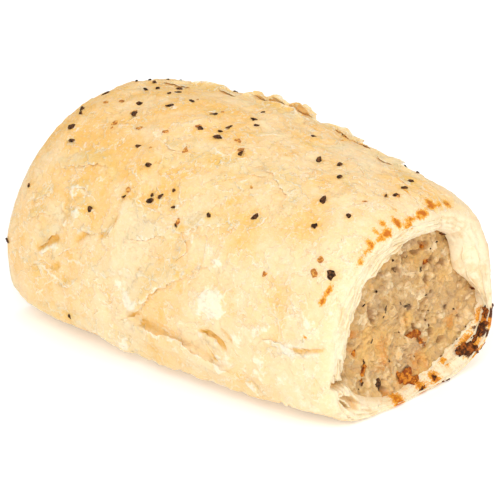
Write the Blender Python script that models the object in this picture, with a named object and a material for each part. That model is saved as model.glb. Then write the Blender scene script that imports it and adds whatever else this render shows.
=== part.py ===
"""Sausage roll: a flaky pastry wrap round a sausage-meat filling, open at both ends.

Metres. +X runs along the roll to its near end, -Y is the side where the pastry laps
over itself, and +Z is up. The origin is in the middle of the flat base.

A place on the roll is given by two numbers: `along`, which is -1 at the far end and
1 at the near end, and an angle round the section, in degrees, which is 0 on the back
(+Y), 90 on top, 180 on the front (-Y) and 270 underneath.
"""

import math

import bmesh
import bpy

MM = 0.001

# ---- driving dimensions ----

LENGTH = 90.0 * MM

# Outside of the pastry at four even stations, from the far end to the near end.
WIDTHS = (58.8 * MM, 62.2 * MM, 59.8 * MM, 52.1 * MM)
HEIGHTS = (45.7 * MM, 47.7 * MM, 45.0 * MM, 41.6 * MM)
SWAYS = (-0.8 * MM, 0.7 * MM, 1.4 * MM, 1.2 * MM)

# The section is widest at this share of its height, and its four quarters are
# superellipses: 2 is an ellipse, and a higher number is squarer.
WAIST = 0.35
FRONT_TOP_SQUARENESS = (1.85, 2.15)
BACK_TOP_SQUARENESS = (2.45, 2.9)
FRONT_FOOT_SQUARENESS = 4.0
BACK_FOOT_SQUARENESS = 2.8
LEAN = (0.06, -0.06)

# The weight of the roll flattens its foot by this much.
FOOT_PRESS = 0.7 * MM

# The ends draw in over the last fifth of each half.
END_DRAW = 0.058
END_DRAW_START = 0.8

# Pastry walls. The front and the top have more layers than the back. The lapped
# layers under the roll lift the floor of the bore, past a share of its width.
WALL_FRONT = 6.3 * MM
WALL_BACK = 3.6 * MM
WALL_TOP = 5.2 * MM
FLOOR_FRONT = 1.4 * MM
FLOOR_BACK = 6.0 * MM
FLOOR_RISE_START = 0.3
BORE_WAIST = 0.42
BORE_TOP_SQUARENESS = 2.2
BORE_FRONT_FOOT_SQUARENESS = 2.2
BORE_BACK_FOOT_SQUARENESS = 3.2

# The rolled edge of the outer layer runs low along the front, with a furrow over it.
LAP_ANGLE = (213.0, 218.0)
LAP_HALF_ANGLE = 8.0
LAP_RISE = 0.8 * MM
FURROW_ANGLE = (193.0, 206.0)
FURROW_HALF_ANGLE = 8.0
FURROW_DEPTH = 1.2 * MM
FURROW_ALONG = (-0.2, 0.65)

# The lip at each end: share of the way in from the skin, and depth behind the end.
LIP_PROFILE = (
    (0.00, 1.7 * MM),
    (0.07, 0.7 * MM),
    (0.20, 0.1 * MM),
    (0.40, 0.0 * MM),
    (0.62, 0.2 * MM),
    (0.85, 0.9 * MM),
    (1.00, 2.2 * MM),
)

# The gap left between the lapped layers shows as a small pocket in each lip. Its
# three corners are an angle and a share of the way in from the skin.
POCKET_CORNERS = ((184.0, 0.30), (211.0, 0.24), (236.0, 0.42))
POCKET_TAPER = 0.45
POCKET_MOUTH = 1.0 * MM
NEAR_POCKET_DEPTH = 5.5 * MM
FAR_POCKET_DEPTH = 3.5 * MM

# The filling lies back from the ends, more at its top, and is proud in its middle.
SET_BACK_TOP = 5.6 * MM
SET_BACK_FOOT = 3.4 * MM
FILLING_CROWN = 0.9 * MM
FILLING_RELIEF = 0.4 * MM
FILLING_GAP = 0.3 * MM

# ---- fineness of the meshes ----

# The points of a ring are closer together towards its front foot.
STEPS_ROUND = 72
CLOSER_ANGLE = 206.0
CLOSER_AMOUNT = 0.35
OUTER_STATIONS = 22
BORE_STATIONS = 7
FILLING_END_RINGS = 5

PASTRY_COLOUR = (0.955, 0.745, 0.420, 1.0)
FILLING_COLOUR = (0.640, 0.385, 0.160, 1.0)


# ---- small helpers ----


def mix(low, high, share):
    """The value a share of the way from low to high."""
    return low + (high - low) * share


def bump(distance, half_width):
    """A smooth hump: 1 at no distance, 0 from half_width on."""
    reach = min(abs(distance) / half_width, 1.0)
    return 0.5 + 0.5 * math.cos(math.pi * reach)


def smooth_step(share):
    """Eases from 0 to 1."""
    held = min(max(share, 0.0), 1.0)
    return held * held * (3.0 - 2.0 * held)


def at_stations(values, along):
    """A smooth curve through a value at each of four even stations."""
    place = (along + 1.0) * 1.5
    first = min(int(place), 2)
    share = place - first
    padded = (2.0 * values[0] - values[1], *values, 2.0 * values[3] - values[2])
    before, start, end, after = padded[first : first + 4]
    return 0.5 * (
        2.0 * start
        + (end - before) * share
        + (2.0 * before - 5.0 * start + 4.0 * end - after) * share**2
        + (3.0 * start - before - 3.0 * end + after) * share**3
    )


def superellipse(angle, squareness):
    """Reach of a unit superellipse at an angle in radians."""
    across = abs(math.cos(angle)) ** squareness
    upward = abs(math.sin(angle)) ** squareness
    return (across + upward) ** (-1.0 / squareness)


# ---- the section of the roll ----


def end_draw(along):
    """How far the section has shrunk towards an end, as a factor."""
    into_end = max(abs(along) - END_DRAW_START, 0.0) / (1.0 - END_DRAW_START)
    return 1.0 - END_DRAW * into_end**2.0


def lap_relief(along, angle):
    """Height of the rolled edge and its furrow on the front of the roll."""
    share = 0.5 + 0.5 * along
    rise = LAP_RISE * bump(angle - mix(*LAP_ANGLE, share), LAP_HALF_ANGLE)
    start, stop = FURROW_ALONG
    furrow_share = (along - start) / (stop - start)
    fade = bump(furrow_share - 0.5, 0.6)
    middle = mix(*FURROW_ANGLE, min(max(furrow_share, 0.0), 1.0))
    return rise - FURROW_DEPTH * fade * bump(angle - middle, FURROW_HALF_ANGLE)


def outer_point(along, angle):
    """Y and Z of the skin of the pastry."""
    share = 0.5 + 0.5 * along
    turn = math.radians(angle)
    is_front = math.cos(turn) < 0.0
    is_top = math.sin(turn) >= 0.0
    if is_top:
        ends = FRONT_TOP_SQUARENESS if is_front else BACK_TOP_SQUARENESS
        squareness = mix(*ends, share)
    else:
        squareness = FRONT_FOOT_SQUARENESS if is_front else BACK_FOOT_SQUARENESS
    reach = superellipse(turn, squareness)
    draw = end_draw(along)
    half_width = 0.5 * at_stations(WIDTHS, along) * draw + lap_relief(along, angle)
    height = at_stations(HEIGHTS, along)
    waist = WAIST * height
    above = height * draw - waist
    z = waist + (above if is_top else waist) * reach * math.sin(turn)
    y = half_width * reach * math.cos(turn) + mix(*LEAN, share) * (z - waist)
    return y + at_stations(SWAYS, along), max(z - FOOT_PRESS, 0.0)


def inner_point(along, angle, gap=0.0):
    """Y and Z of the inside of the pastry, or of a face that far inside it."""
    turn = math.radians(angle)
    draw = end_draw(along)
    half_width = 0.5 * at_stations(WIDTHS, along) * draw
    left = -half_width + WALL_FRONT + gap
    right = half_width - WALL_BACK - gap
    middle = 0.5 * (left + right)
    half = 0.5 * (right - left)
    top = at_stations(HEIGHTS, along) * draw - FOOT_PRESS - WALL_TOP - gap
    is_front = math.cos(turn) < 0.0
    is_top = math.sin(turn) >= 0.0
    foot = BORE_FRONT_FOOT_SQUARENESS if is_front else BORE_BACK_FOOT_SQUARENESS
    reach = superellipse(turn, BORE_TOP_SQUARENESS if is_top else foot)
    y = middle + half * reach * math.cos(turn)
    across = (y - left) / (right - left)
    rise = smooth_step((across - FLOOR_RISE_START) / (1.0 - FLOOR_RISE_START))
    floor = mix(FLOOR_FRONT, FLOOR_BACK, rise) + gap
    waist = mix(floor, top, BORE_WAIST)
    height = (top - waist) if is_top else (waist - floor)
    return y + at_stations(SWAYS, along), waist + height * reach * math.sin(turn)


def ring_angles():
    """The angles of a ring's points."""
    angles = []
    for step in range(STEPS_ROUND):
        even = 360.0 * step / STEPS_ROUND
        pull = CLOSER_AMOUNT * math.sin(math.radians(even - CLOSER_ANGLE))
        angles.append(even - math.degrees(pull))
    return angles


# ---- rings of points ----


def skin_ring(x):
    """A ring round the skin at a place along the roll."""
    along = x / (0.5 * LENGTH)
    return [(x, *outer_point(along, angle)) for angle in ring_angles()]


def bore_ring(share, gap=0.0):
    """A ring round the bore, or inside it by a gap; share is -1 to 1 along the filling."""
    ring = []
    for angle in ring_angles():
        height_share = 0.5 + 0.5 * math.sin(math.radians(angle))
        set_back = mix(SET_BACK_FOOT, SET_BACK_TOP, height_share)
        x = share * (0.5 * LENGTH - set_back)
        ring.append((x, *inner_point(x / (0.5 * LENGTH), angle, gap)))
    return ring


def lip_point(end, angle, share, depth):
    """A point in the wall of the pastry, that far behind one end."""
    along = end * (1.0 - depth / (0.5 * LENGTH))
    skin_y, skin_z = outer_point(along, angle)
    bore_y, bore_z = inner_point(along, angle)
    x = end * (0.5 * LENGTH - depth)
    return x, mix(skin_y, bore_y, share), mix(skin_z, bore_z, share)


def lip_rings(end):
    """The rings of the lip at one end, from the skin inwards; end is 1 or -1."""
    return [
        [lip_point(end, angle, share, depth) for angle in ring_angles()]
        for share, depth in LIP_PROFILE
    ]


def spread(low, high, count):
    """Values from low to high, both left out."""
    return [mix(low, high, (step + 1) / (count + 1)) for step in range(count)]


def bore_stations():
    """Where the bore and the filling have their rings, between the filling's ends."""
    return spread(-1.0, 1.0, BORE_STATIONS)


# ---- meshes ----


def skin_over(mesh, rings, is_loop):
    """Joins each ring of vertices to the next with faces, and the last to the first."""
    pairs = list(zip(rings, rings[1:]))
    if is_loop:
        pairs.append((rings[-1], rings[0]))
    for ring, following in pairs:
        for step in range(STEPS_ROUND):
            after = (step + 1) % STEPS_ROUND
            corners = (ring[step], ring[after], following[after], following[step])
            mesh.faces.new(corners)


def finish_piece(name, mesh, material):
    """Turns a built mesh into a smooth-shaded object with its material."""
    bmesh.ops.recalc_face_normals(mesh, faces=mesh.faces)
    data = bpy.data.meshes.new(name)
    mesh.to_mesh(data)
    mesh.free()
    data.materials.append(material)
    data.shade_smooth()
    piece = bpy.data.objects.new(name, data)
    bpy.context.scene.collection.objects.link(piece)
    return piece


def make_material(name, colour, roughness):
    """A plain food material."""
    material = bpy.data.materials.new(name)
    material.use_nodes = True
    shader = material.node_tree.nodes["Principled BSDF"]
    shader.inputs["Base Color"].default_value = colour
    shader.inputs["Roughness"].default_value = roughness
    shader.inputs["Metallic"].default_value = 0.0
    return material


def make_pastry():
    """The wrap: its skin, a lip at each end, and the bore that holds the filling."""
    shoulder = 0.5 * LENGTH - LIP_PROFILE[0][1]
    points = lip_rings(-1)[::-1]
    points += [skin_ring(x) for x in spread(-shoulder, shoulder, OUTER_STATIONS)]
    points += lip_rings(1)
    points += [bore_ring(share) for share in (1.0, *reversed(bore_stations()), -1.0)]
    mesh = bmesh.new()
    rings = [[mesh.verts.new(point) for point in ring] for ring in points]
    skin_over(mesh, rings, is_loop=True)
    return finish_piece("pastry", mesh, make_material("pastry", PASTRY_COLOUR, 0.62))


def make_pocket_cutter(end, depth):
    """A tapered three-sided wedge that opens the pocket in the lip at one end."""
    mouth = [lip_point(end, angle, share, 0.0) for angle, share in POCKET_CORNERS]
    mesh = bmesh.new()
    middle_y = sum(point[1] for point in mouth) / len(mouth)
    middle_z = sum(point[2] for point in mouth) / len(mouth)
    wide = [mesh.verts.new((x + end * POCKET_MOUTH, y, z)) for x, y, z in mouth]
    narrow = []
    for x, y, z in mouth:
        y = mix(middle_y, y, POCKET_TAPER)
        z = mix(middle_z, z, POCKET_TAPER)
        narrow.append(mesh.verts.new((x - end * depth, y, z)))
    mesh.faces.new(wide)
    mesh.faces.new(narrow)
    for corner, after in ((0, 1), (1, 2), (2, 0)):
        mesh.faces.new((wide[corner], wide[after], narrow[after], narrow[corner]))
    bmesh.ops.recalc_face_normals(mesh, faces=mesh.faces)
    data = bpy.data.meshes.new("pocket_cutter")
    mesh.to_mesh(data)
    mesh.free()
    cutter = bpy.data.objects.new("pocket_cutter", data)
    cutter.hide_render = True
    cutter.display_type = "WIRE"
    bpy.context.scene.collection.objects.link(cutter)
    return cutter


def cut(piece, cutter):
    """Cuts one object out of another."""
    modifier = piece.modifiers.new("pocket", "BOOLEAN")
    modifier.operation = "DIFFERENCE"
    modifier.solver = "EXACT"
    modifier.object = cutter


def filling_end_ring(end, share):
    """A ring on one end of the filling; share is 1 at its edge and 0 in its middle."""
    edge = bore_ring(end, FILLING_GAP)
    middle_y = sum(point[1] for point in edge) / STEPS_ROUND
    middle_z = sum(point[2] for point in edge) / STEPS_ROUND
    ring = []
    for angle, (x, y, z) in zip(ring_angles(), edge):
        lumps = math.sin(math.radians(3.0 * angle) + 5.0 * share + end)
        lumps *= math.sin(math.radians(2.0 * angle) - 7.0 * share)
        crown = FILLING_CROWN * (1.0 - share**2) + FILLING_RELIEF * lumps * (1.0 - share)
        ring.append((x + end * crown, mix(middle_y, y, share), mix(middle_z, z, share)))
    return ring


def make_filling():
    """The sausage meat, which runs through the roll and lies back from its ends."""
    shares = [(ring + 1) / FILLING_END_RINGS for ring in range(FILLING_END_RINGS)]
    points = [filling_end_ring(-1, share) for share in shares]
    points += [bore_ring(share, FILLING_GAP) for share in bore_stations()]
    points += [filling_end_ring(1, share) for share in reversed(shares)]
    mesh = bmesh.new()
    rings = [[mesh.verts.new(point) for point in ring] for ring in points]
    skin_over(mesh, rings, is_loop=False)
    for ring in (rings[0], rings[-1]):
        mesh.faces.new(ring)
    bmesh.ops.poke(mesh, faces=[face for face in mesh.faces if len(face.verts) > 4])
    return finish_piece("filling", mesh, make_material("filling", FILLING_COLOUR, 0.7))


def clear_scene():
    """Removes whatever the scene holds."""
    for leftover in list(bpy.data.objects):
        bpy.data.objects.remove(leftover)


def centre_across(pieces):
    """Moves the pieces sideways, so that the roll's box is centred on the origin."""
    across = [vertex.co.y for piece in pieces for vertex in piece.data.vertices]
    middle = 0.5 * (min(across) + max(across))
    for piece in pieces:
        for vertex in piece.data.vertices:
            vertex.co.y -= middle


clear_scene()
pastry = make_pastry()
pockets = [
    make_pocket_cutter(1, NEAR_POCKET_DEPTH),
    make_pocket_cutter(-1, FAR_POCKET_DEPTH),
]
for pocket in pockets:
    cut(pastry, pocket)
centre_across([pastry, make_filling(), *pockets])
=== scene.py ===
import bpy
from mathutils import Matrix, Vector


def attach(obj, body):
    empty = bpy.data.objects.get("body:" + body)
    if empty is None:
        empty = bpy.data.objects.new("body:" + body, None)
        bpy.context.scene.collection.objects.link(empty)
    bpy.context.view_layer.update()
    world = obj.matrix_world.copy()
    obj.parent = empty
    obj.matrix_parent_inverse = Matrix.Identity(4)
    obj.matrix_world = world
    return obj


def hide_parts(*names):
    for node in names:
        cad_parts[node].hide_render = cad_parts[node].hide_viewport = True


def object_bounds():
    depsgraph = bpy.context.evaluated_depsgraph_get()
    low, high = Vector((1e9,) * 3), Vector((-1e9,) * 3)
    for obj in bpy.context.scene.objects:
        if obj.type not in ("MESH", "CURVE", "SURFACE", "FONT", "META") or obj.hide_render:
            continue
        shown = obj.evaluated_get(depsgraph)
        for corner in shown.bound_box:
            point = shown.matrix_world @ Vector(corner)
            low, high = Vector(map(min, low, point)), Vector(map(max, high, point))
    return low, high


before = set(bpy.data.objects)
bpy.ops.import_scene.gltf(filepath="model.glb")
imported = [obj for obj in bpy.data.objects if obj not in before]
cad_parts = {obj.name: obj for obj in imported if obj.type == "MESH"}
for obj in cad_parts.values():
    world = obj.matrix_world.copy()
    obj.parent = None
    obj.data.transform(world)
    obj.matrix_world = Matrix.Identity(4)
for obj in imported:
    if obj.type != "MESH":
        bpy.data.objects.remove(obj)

"""Looks of the sausage roll: flaky pastry, sausage meat, seasoning and burnt drips.

Metres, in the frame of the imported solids. A place on the crust is given as a pair:
millimetres along the roll (+X), and degrees round it, which are 0 on the back (+Y),
90 on top, 180 on the front (-Y) and 270 underneath. A place on a cut end is Y and Z in
millimetres.
"""

import logging
import math
from dataclasses import dataclass, field
from enum import Enum
from typing import NamedTuple

import bpy
import numpy as np
from mathutils import Matrix, Vector

LOG = logging.getLogger("sausage_roll")
MM = 0.001
CLEARANCE = 2e-5
SHEET_CLEARANCE = 3e-5
CAD_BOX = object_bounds()

Place = tuple[float, float]
Colour = tuple[float, float, float]
Array = np.ndarray
Number = float | Array
Link = bpy.types.NodeSocket
Surface = tuple[Array, Array]
Piece = bpy.types.Object
Material = bpy.types.Material


# ---- numbers ----


def mix(low: Number, high: Number, share: Number) -> Number:
    """Gives the value a share of the way from low to high."""
    return low + (high - low) * share


def ease(value: Number, low: float, high: float) -> Number:
    """Rises smoothly from 0 at low to 1 at high."""
    share = np.clip((value - low) / (high - low), 0, 1)
    return share * share * (3 - 2 * share)


def hump(distance: Number, half_width: Number) -> Number:
    """Gives a bell of height 1 at no distance, which is all but gone at twice the half width."""
    return np.exp(-((distance / half_width) ** 2))


def unit(vectors: Array) -> Array:
    """Scales each vector to length 1."""
    length = np.linalg.norm(vectors, axis=-1, keepdims=True)
    return vectors / np.maximum(length, 1e-12)


def paced(right: Array, down: Array) -> Array:
    """Gives how far each point of a line is from its start, walking from point to point."""
    return np.concatenate([[0], np.cumsum(np.hypot(np.diff(right), np.diff(down)))])


def turned(right: Number, up: Number, degrees: float) -> tuple[Number, Number]:
    """Gives the places along and across a line that is turned away from the right."""
    cos, sin = math.cos(math.radians(degrees)), math.sin(math.radians(degrees))
    return right * cos + up * sin, up * cos - right * sin


def soft_spots(points: Array, spots: tuple[tuple[float, ...], ...]) -> Array:
    """Adds up soft round spots on a cut end.

    Args:
        points: Places, with x, y, z last.
        spots: Y, Z and size of each spot, in millimetres.

    Returns:
        Their sum, where a lone spot is 1 in its middle.
    """
    y, z = points[..., 1] / MM, points[..., 2] / MM
    return sum(
        np.exp(-(((y - across) / size) ** 2 + ((z - up) / size) ** 2))
        for across, up, size in spots
    )


def on_face(points: Array, normals: Array, place: Place, lean: float) -> Surface:
    """Finds the point of a cut end that is nearest to a place.

    Args:
        points: The cut end's points.
        normals: Its outward directions.
        place: Y and Z, in millimetres.
        lean: How much the direction is drawn towards straight out of the end.

    Returns:
        The point and the outward direction.
    """
    gap = np.hypot(points[..., 1] - place[0] * MM, points[..., 2] - place[1] * MM)
    nearest = np.unravel_index(np.argmin(gap), gap.shape)
    return points[nearest], unit(normals[nearest] + np.array([lean, 0, 0]))


class Grain:
    """Smooth random relief in space, the same on every run."""

    SIZE = 512

    def __init__(self, seed: int) -> None:
        """Shuffles the lattice that the relief is read from.

        Args:
            seed: Picks one relief out of many.
        """
        rng = np.random.default_rng(seed)
        self.order = rng.permutation(self.SIZE)
        self.height = rng.uniform(-1, 1, self.SIZE)

    def _pick(self, cell: Array) -> Array:
        """Looks cells up in the shuffled lattice.

        Args:
            cell: Whole numbers, with x, y, z last.

        Returns:
            The lattice index of each cell.
        """
        last = self.SIZE - 1
        first = self.order[cell[..., 0] & last]
        second = self.order[(first + cell[..., 1]) & last]
        return self.order[(second + cell[..., 2]) & last]

    def smooth(self, points: Array, size: float) -> Array:
        """Gives soft lumps of one size.

        Args:
            points: Places, with x, y, z last.
            size: How far apart the lumps are.

        Returns:
            Heights from -1 to 1.
        """
        scaled = points / size
        cell = np.floor(scaled).astype(int)
        share = scaled - cell
        share = share**3 * (share * (share * 6 - 15) + 10)
        total = np.zeros(points.shape[:-1])
        for corner in np.ndindex(2, 2, 2):
            weight = np.ones(points.shape[:-1])
            for axis, side in enumerate(corner):
                weight *= share[..., axis] if side else 1 - share[..., axis]
            total += weight * self.height[self._pick(cell + np.array(corner))]
        return total

    def rough(self, points: Array, size: float, steps: int = 4) -> Array:
        """Gives lumps with finer and finer lumps on them.

        Args:
            points: Places, with x, y, z last.
            size: How far apart the largest lumps are.
            steps: How many sizes there are, each half of the last.

        Returns:
            Heights, mostly from -1 to 1.
        """
        total = np.zeros(points.shape[:-1])
        for step in range(steps):
            shift = np.array([17.3, 5.1, 9.7]) * step
            total += self.smooth(points + shift * size, size / 2**step) / 1.7**step
        return total

    def crumbs(self, points: Array, size: float) -> tuple[Array, Array]:
        """Splits space into uneven crumbs.

        Args:
            points: Places, with x, y, z last.
            size: How far apart the crumbs are.

        Returns:
            The distance from each place to its crumb's edge, as a share of the size, and
            a number from -1 to 1 that is the same all over one crumb.
        """
        scaled = points / size
        cell = np.floor(scaled).astype(int)
        nearest = np.full(points.shape[:-1], 9.0)
        second = np.full(points.shape[:-1], 9.0)
        owner = np.zeros(points.shape[:-1])
        for offset in np.ndindex(3, 3, 3):
            other = cell + np.array(offset) - 1
            pick = self._pick(other)
            jitter = np.stack(
                [self.height[(pick + shift) & (self.SIZE - 1)] for shift in (0, 71, 193)],
                axis=-1,
            )
            gap = other + 0.5 + 0.42 * jitter - scaled
            distance = np.linalg.norm(gap, axis=-1)
            closer = distance < nearest
            second = np.where(closer, nearest, np.minimum(second, distance))
            owner = np.where(closer, self.height[pick], owner)
            nearest = np.minimum(nearest, distance)
        return second - nearest, owner


# ---- shader maths ----


class Socket:
    """A value output of a node, which plain arithmetic can be done on."""

    def __init__(self, tree: bpy.types.NodeTree, out: bpy.types.NodeSocket) -> None:
        """Wraps an output."""
        self.tree = tree
        self.out = out

    def _math(self, operation: str, *values: "Socket | float", clamp: bool = False) -> "Socket":
        """Adds a Math node.

        Args:
            operation: Which sum it does.
            values: Its inputs in order, as sockets or numbers.
            clamp: Whether the result is held between 0 and 1.

        Returns:
            The node's result.
        """
        node = self.tree.nodes.new("ShaderNodeMath")
        node.operation = operation
        node.use_clamp = clamp
        for index, value in enumerate(values):
            if isinstance(value, Socket):
                self.tree.links.new(value.out, node.inputs[index])
            else:
                node.inputs[index].default_value = value
        return Socket(self.tree, node.outputs[0])

    def __add__(self, other: "Socket | float") -> "Socket":
        """Adds."""
        return self._math("ADD", self, other)

    __radd__ = __add__

    def __mul__(self, other: "Socket | float") -> "Socket":
        """Multiplies."""
        return self._math("MULTIPLY", self, other)

    __rmul__ = __mul__

    def __sub__(self, other: "Socket | float") -> "Socket":
        """Takes away."""
        return self._math("SUBTRACT", self, other)

    def __rsub__(self, other: "Socket | float") -> "Socket":
        """Is taken away."""
        return self._math("SUBTRACT", other, self)

    def __truediv__(self, other: "Socket | float") -> "Socket":
        """Divides."""
        return self._math("DIVIDE", self, other)

    def held(self) -> "Socket":
        """Holds the value between 0 and 1."""
        return self._math("ADD", self, 0, clamp=True)

    def band(self, middle: float, half: float) -> "Socket":
        """Is 1 at a middle value and falls to 0 half a band away from it."""
        gap = self._math("ABSOLUTE", self - middle)
        return (1 - gap / half).held()

    def over(self, low: float, high: float) -> "Socket":
        """Rises smoothly from 0 at low to 1 at high.

        Args:
            low: Where the rise starts.
            high: Where it ends.

        Returns:
            The eased value.
        """
        node = self.tree.nodes.new("ShaderNodeMapRange")
        node.interpolation_type = "SMOOTHSTEP"
        self.tree.links.new(self.out, node.inputs["Value"])
        node.inputs["From Min"].default_value = low
        node.inputs["From Max"].default_value = high
        return Socket(self.tree, node.outputs[0])


class Dresser:
    """Builds one material, node by node."""

    def __init__(self, name: str) -> None:
        """Starts a material that has only its shader and its output.

        Args:
            name: The material's name.
        """
        self.material = bpy.data.materials.new(name)
        self.material.use_nodes = True
        self.tree = self.material.node_tree
        self.shader = self.tree.nodes["Principled BSDF"]
        self.place = self.node("ShaderNodeTexCoord").outputs["Object"]

    def node(
        self, kind: str, settings: dict | None = None, sockets: dict | None = None
    ) -> bpy.types.Node:
        """Adds a node.

        Args:
            kind: The node's type.
            settings: Its own settings, such as its operation, which are set first.
            sockets: Values or links for its inputs, by name or index.

        Returns:
            The node.
        """
        node = self.tree.nodes.new(kind)
        for name, value in (settings or {}).items():
            setattr(node, name, value)
        for name, value in (sockets or {}).items():
            self.feed(node.inputs[name], value)
        return node

    def feed(self, target: Link, value: Socket | Link | tuple | float) -> None:
        """Links a value to an input, or sets the input.

        Args:
            target: The input.
            value: A socket, a wrapped socket, a colour or a number.
        """
        if isinstance(value, Socket):
            self.tree.links.new(value.out, target)
        elif isinstance(value, Link):
            self.tree.links.new(value, target)
        elif isinstance(value, tuple) and len(value) == 3 and target.type == "RGBA":
            target.default_value = (*value, 1)
        else:
            target.default_value = value

    def layer(self, name: str) -> Socket:
        """Reads a number that is stored on the mesh's points."""
        node = self.node("ShaderNodeAttribute", {"attribute_name": name})
        return Socket(self.tree, node.outputs["Fac"])

    def warped(self, size: float, depth: float) -> Link:
        """Gives places that are pushed about at random.

        Args:
            size: How far apart the pushes are, in metres.
            depth: How far they push, in metres.

        Returns:
            The pushed places' socket.
        """
        sockets = {"Vector": self.place, "Scale": 1 / size, "Detail": 3}
        noise = self.node("ShaderNodeTexNoise", sockets=sockets)
        settings = {"operation": "MULTIPLY_ADD"}
        sockets = {0: noise.outputs["Color"], 1: (depth,) * 3, 2: self.place}
        return self.node("ShaderNodeVectorMath", settings, sockets).outputs[0]

    def stretched(self, along: float) -> Link:
        """Gives places that are squeezed along the roll, so that spots there grow long."""
        sockets = {0: self.place, 1: (along, 1, 1)}
        return self.node("ShaderNodeVectorMath", {"operation": "MULTIPLY"}, sockets).outputs[0]

    def noise(
        self, size: float, detail: float, rough: float, at: Link | None = None
    ) -> Socket:
        """Adds soft random spots.

        Args:
            size: How far apart the spots are, in metres.
            detail: How many finer sizes are on them.
            rough: How strong the finer sizes are.
            at: A socket of pushed places, if they aren't the plain ones.

        Returns:
            A value round 0.5.
        """
        sockets = {
            "Vector": at or self.place,
            "Scale": 1 / size,
            "Detail": detail,
            "Roughness": rough,
        }
        node = self.node("ShaderNodeTexNoise", sockets=sockets)
        return Socket(self.tree, node.outputs[0])

    def cracks(self, size: float, at: Link) -> Socket:
        """Gives the distance to the edge between random grains.

        Args:
            size: How far apart the grains are, in metres.
            at: A socket of pushed places.

        Returns:
            The distance, as a share of the size.
        """
        sockets = {"Vector": at, "Scale": 1 / size}
        settings = {"feature": "DISTANCE_TO_EDGE"}
        node = self.node("ShaderNodeTexVoronoi", settings, sockets)
        return Socket(self.tree, node.outputs["Distance"])

    def grains(self, size: float, at: Link) -> Socket:
        """Gives each random grain a number of its own.

        Args:
            size: How far apart the grains are, in metres.
            at: A socket of pushed places.

        Returns:
            Numbers from 0 to 1.
        """
        sockets = {"Vector": at, "Scale": 1 / size}
        node = self.node("ShaderNodeTexVoronoi", {"feature": "F1"}, sockets)
        split = self.node("ShaderNodeSeparateColor", sockets={0: node.outputs["Color"]})
        return Socket(self.tree, split.outputs[0])

    def blend(self, share: Socket | float, under: Colour | Link, over: Colour | Link) -> Link:
        """Mixes two colours.

        Args:
            share: How much of the second one shows.
            under: The first colour, or a socket that gives it.
            over: The second colour, or a socket that gives it.

        Returns:
            The mixed colour's socket.
        """
        settings = {"data_type": "RGBA", "clamp_factor": True}
        node = self.node("ShaderNodeMix", settings)
        self.feed(node.inputs[0], share)
        self.feed(node.inputs[6], under)
        self.feed(node.inputs[7], over)
        return node.outputs[2]

    def coated(self, colour: Colour, coats: tuple) -> Link:
        """Lays colours over each other.

        Args:
            colour: The lowest colour.
            coats: How much of each coat shows, with its colour, in order.

        Returns:
            The colour's socket.
        """
        for share, coat in coats:
            colour = self.blend(share, colour, coat)
        return colour

    def bump(self, height: Socket, depth: float, under: Link | None = None) -> Link:
        """Turns heights into a bumpy normal.

        Args:
            height: The heights, from 0 to 1.
            depth: How high 1 is, in metres.
            under: A normal that this one is added to.

        Returns:
            The normal's socket.
        """
        sockets = {"Height": height, "Distance": depth, "Strength": 1}
        node = self.node("ShaderNodeBump", sockets=sockets)
        if under is not None:
            self.feed(node.inputs["Normal"], under)
        return node.outputs["Normal"]

    def finish(self, **sockets: Socket | Link | tuple | float) -> Material:
        """Feeds the shader and gives the material.

        Args:
            sockets: Values or links for the shader's inputs, with _ for each space.

        Returns:
            The finished material.
        """
        for name, value in sockets.items():
            self.feed(self.shader.inputs[name.replace("_", " ")], value)
        return self.material


def paint(*chart: int) -> Colour:
    """Gives the linear colour of a paint-chart colour.

    Args:
        chart: Red, green and blue, from 0 to 255.

    Returns:
        The colour as the shader takes it.
    """
    shares = [channel / 255 for channel in chart]
    return tuple(
        share / 12.92 if share <= 0.04045 else ((share + 0.055) / 1.055) ** 2.4
        for share in shares
    )


# ---- finishes ----


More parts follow.
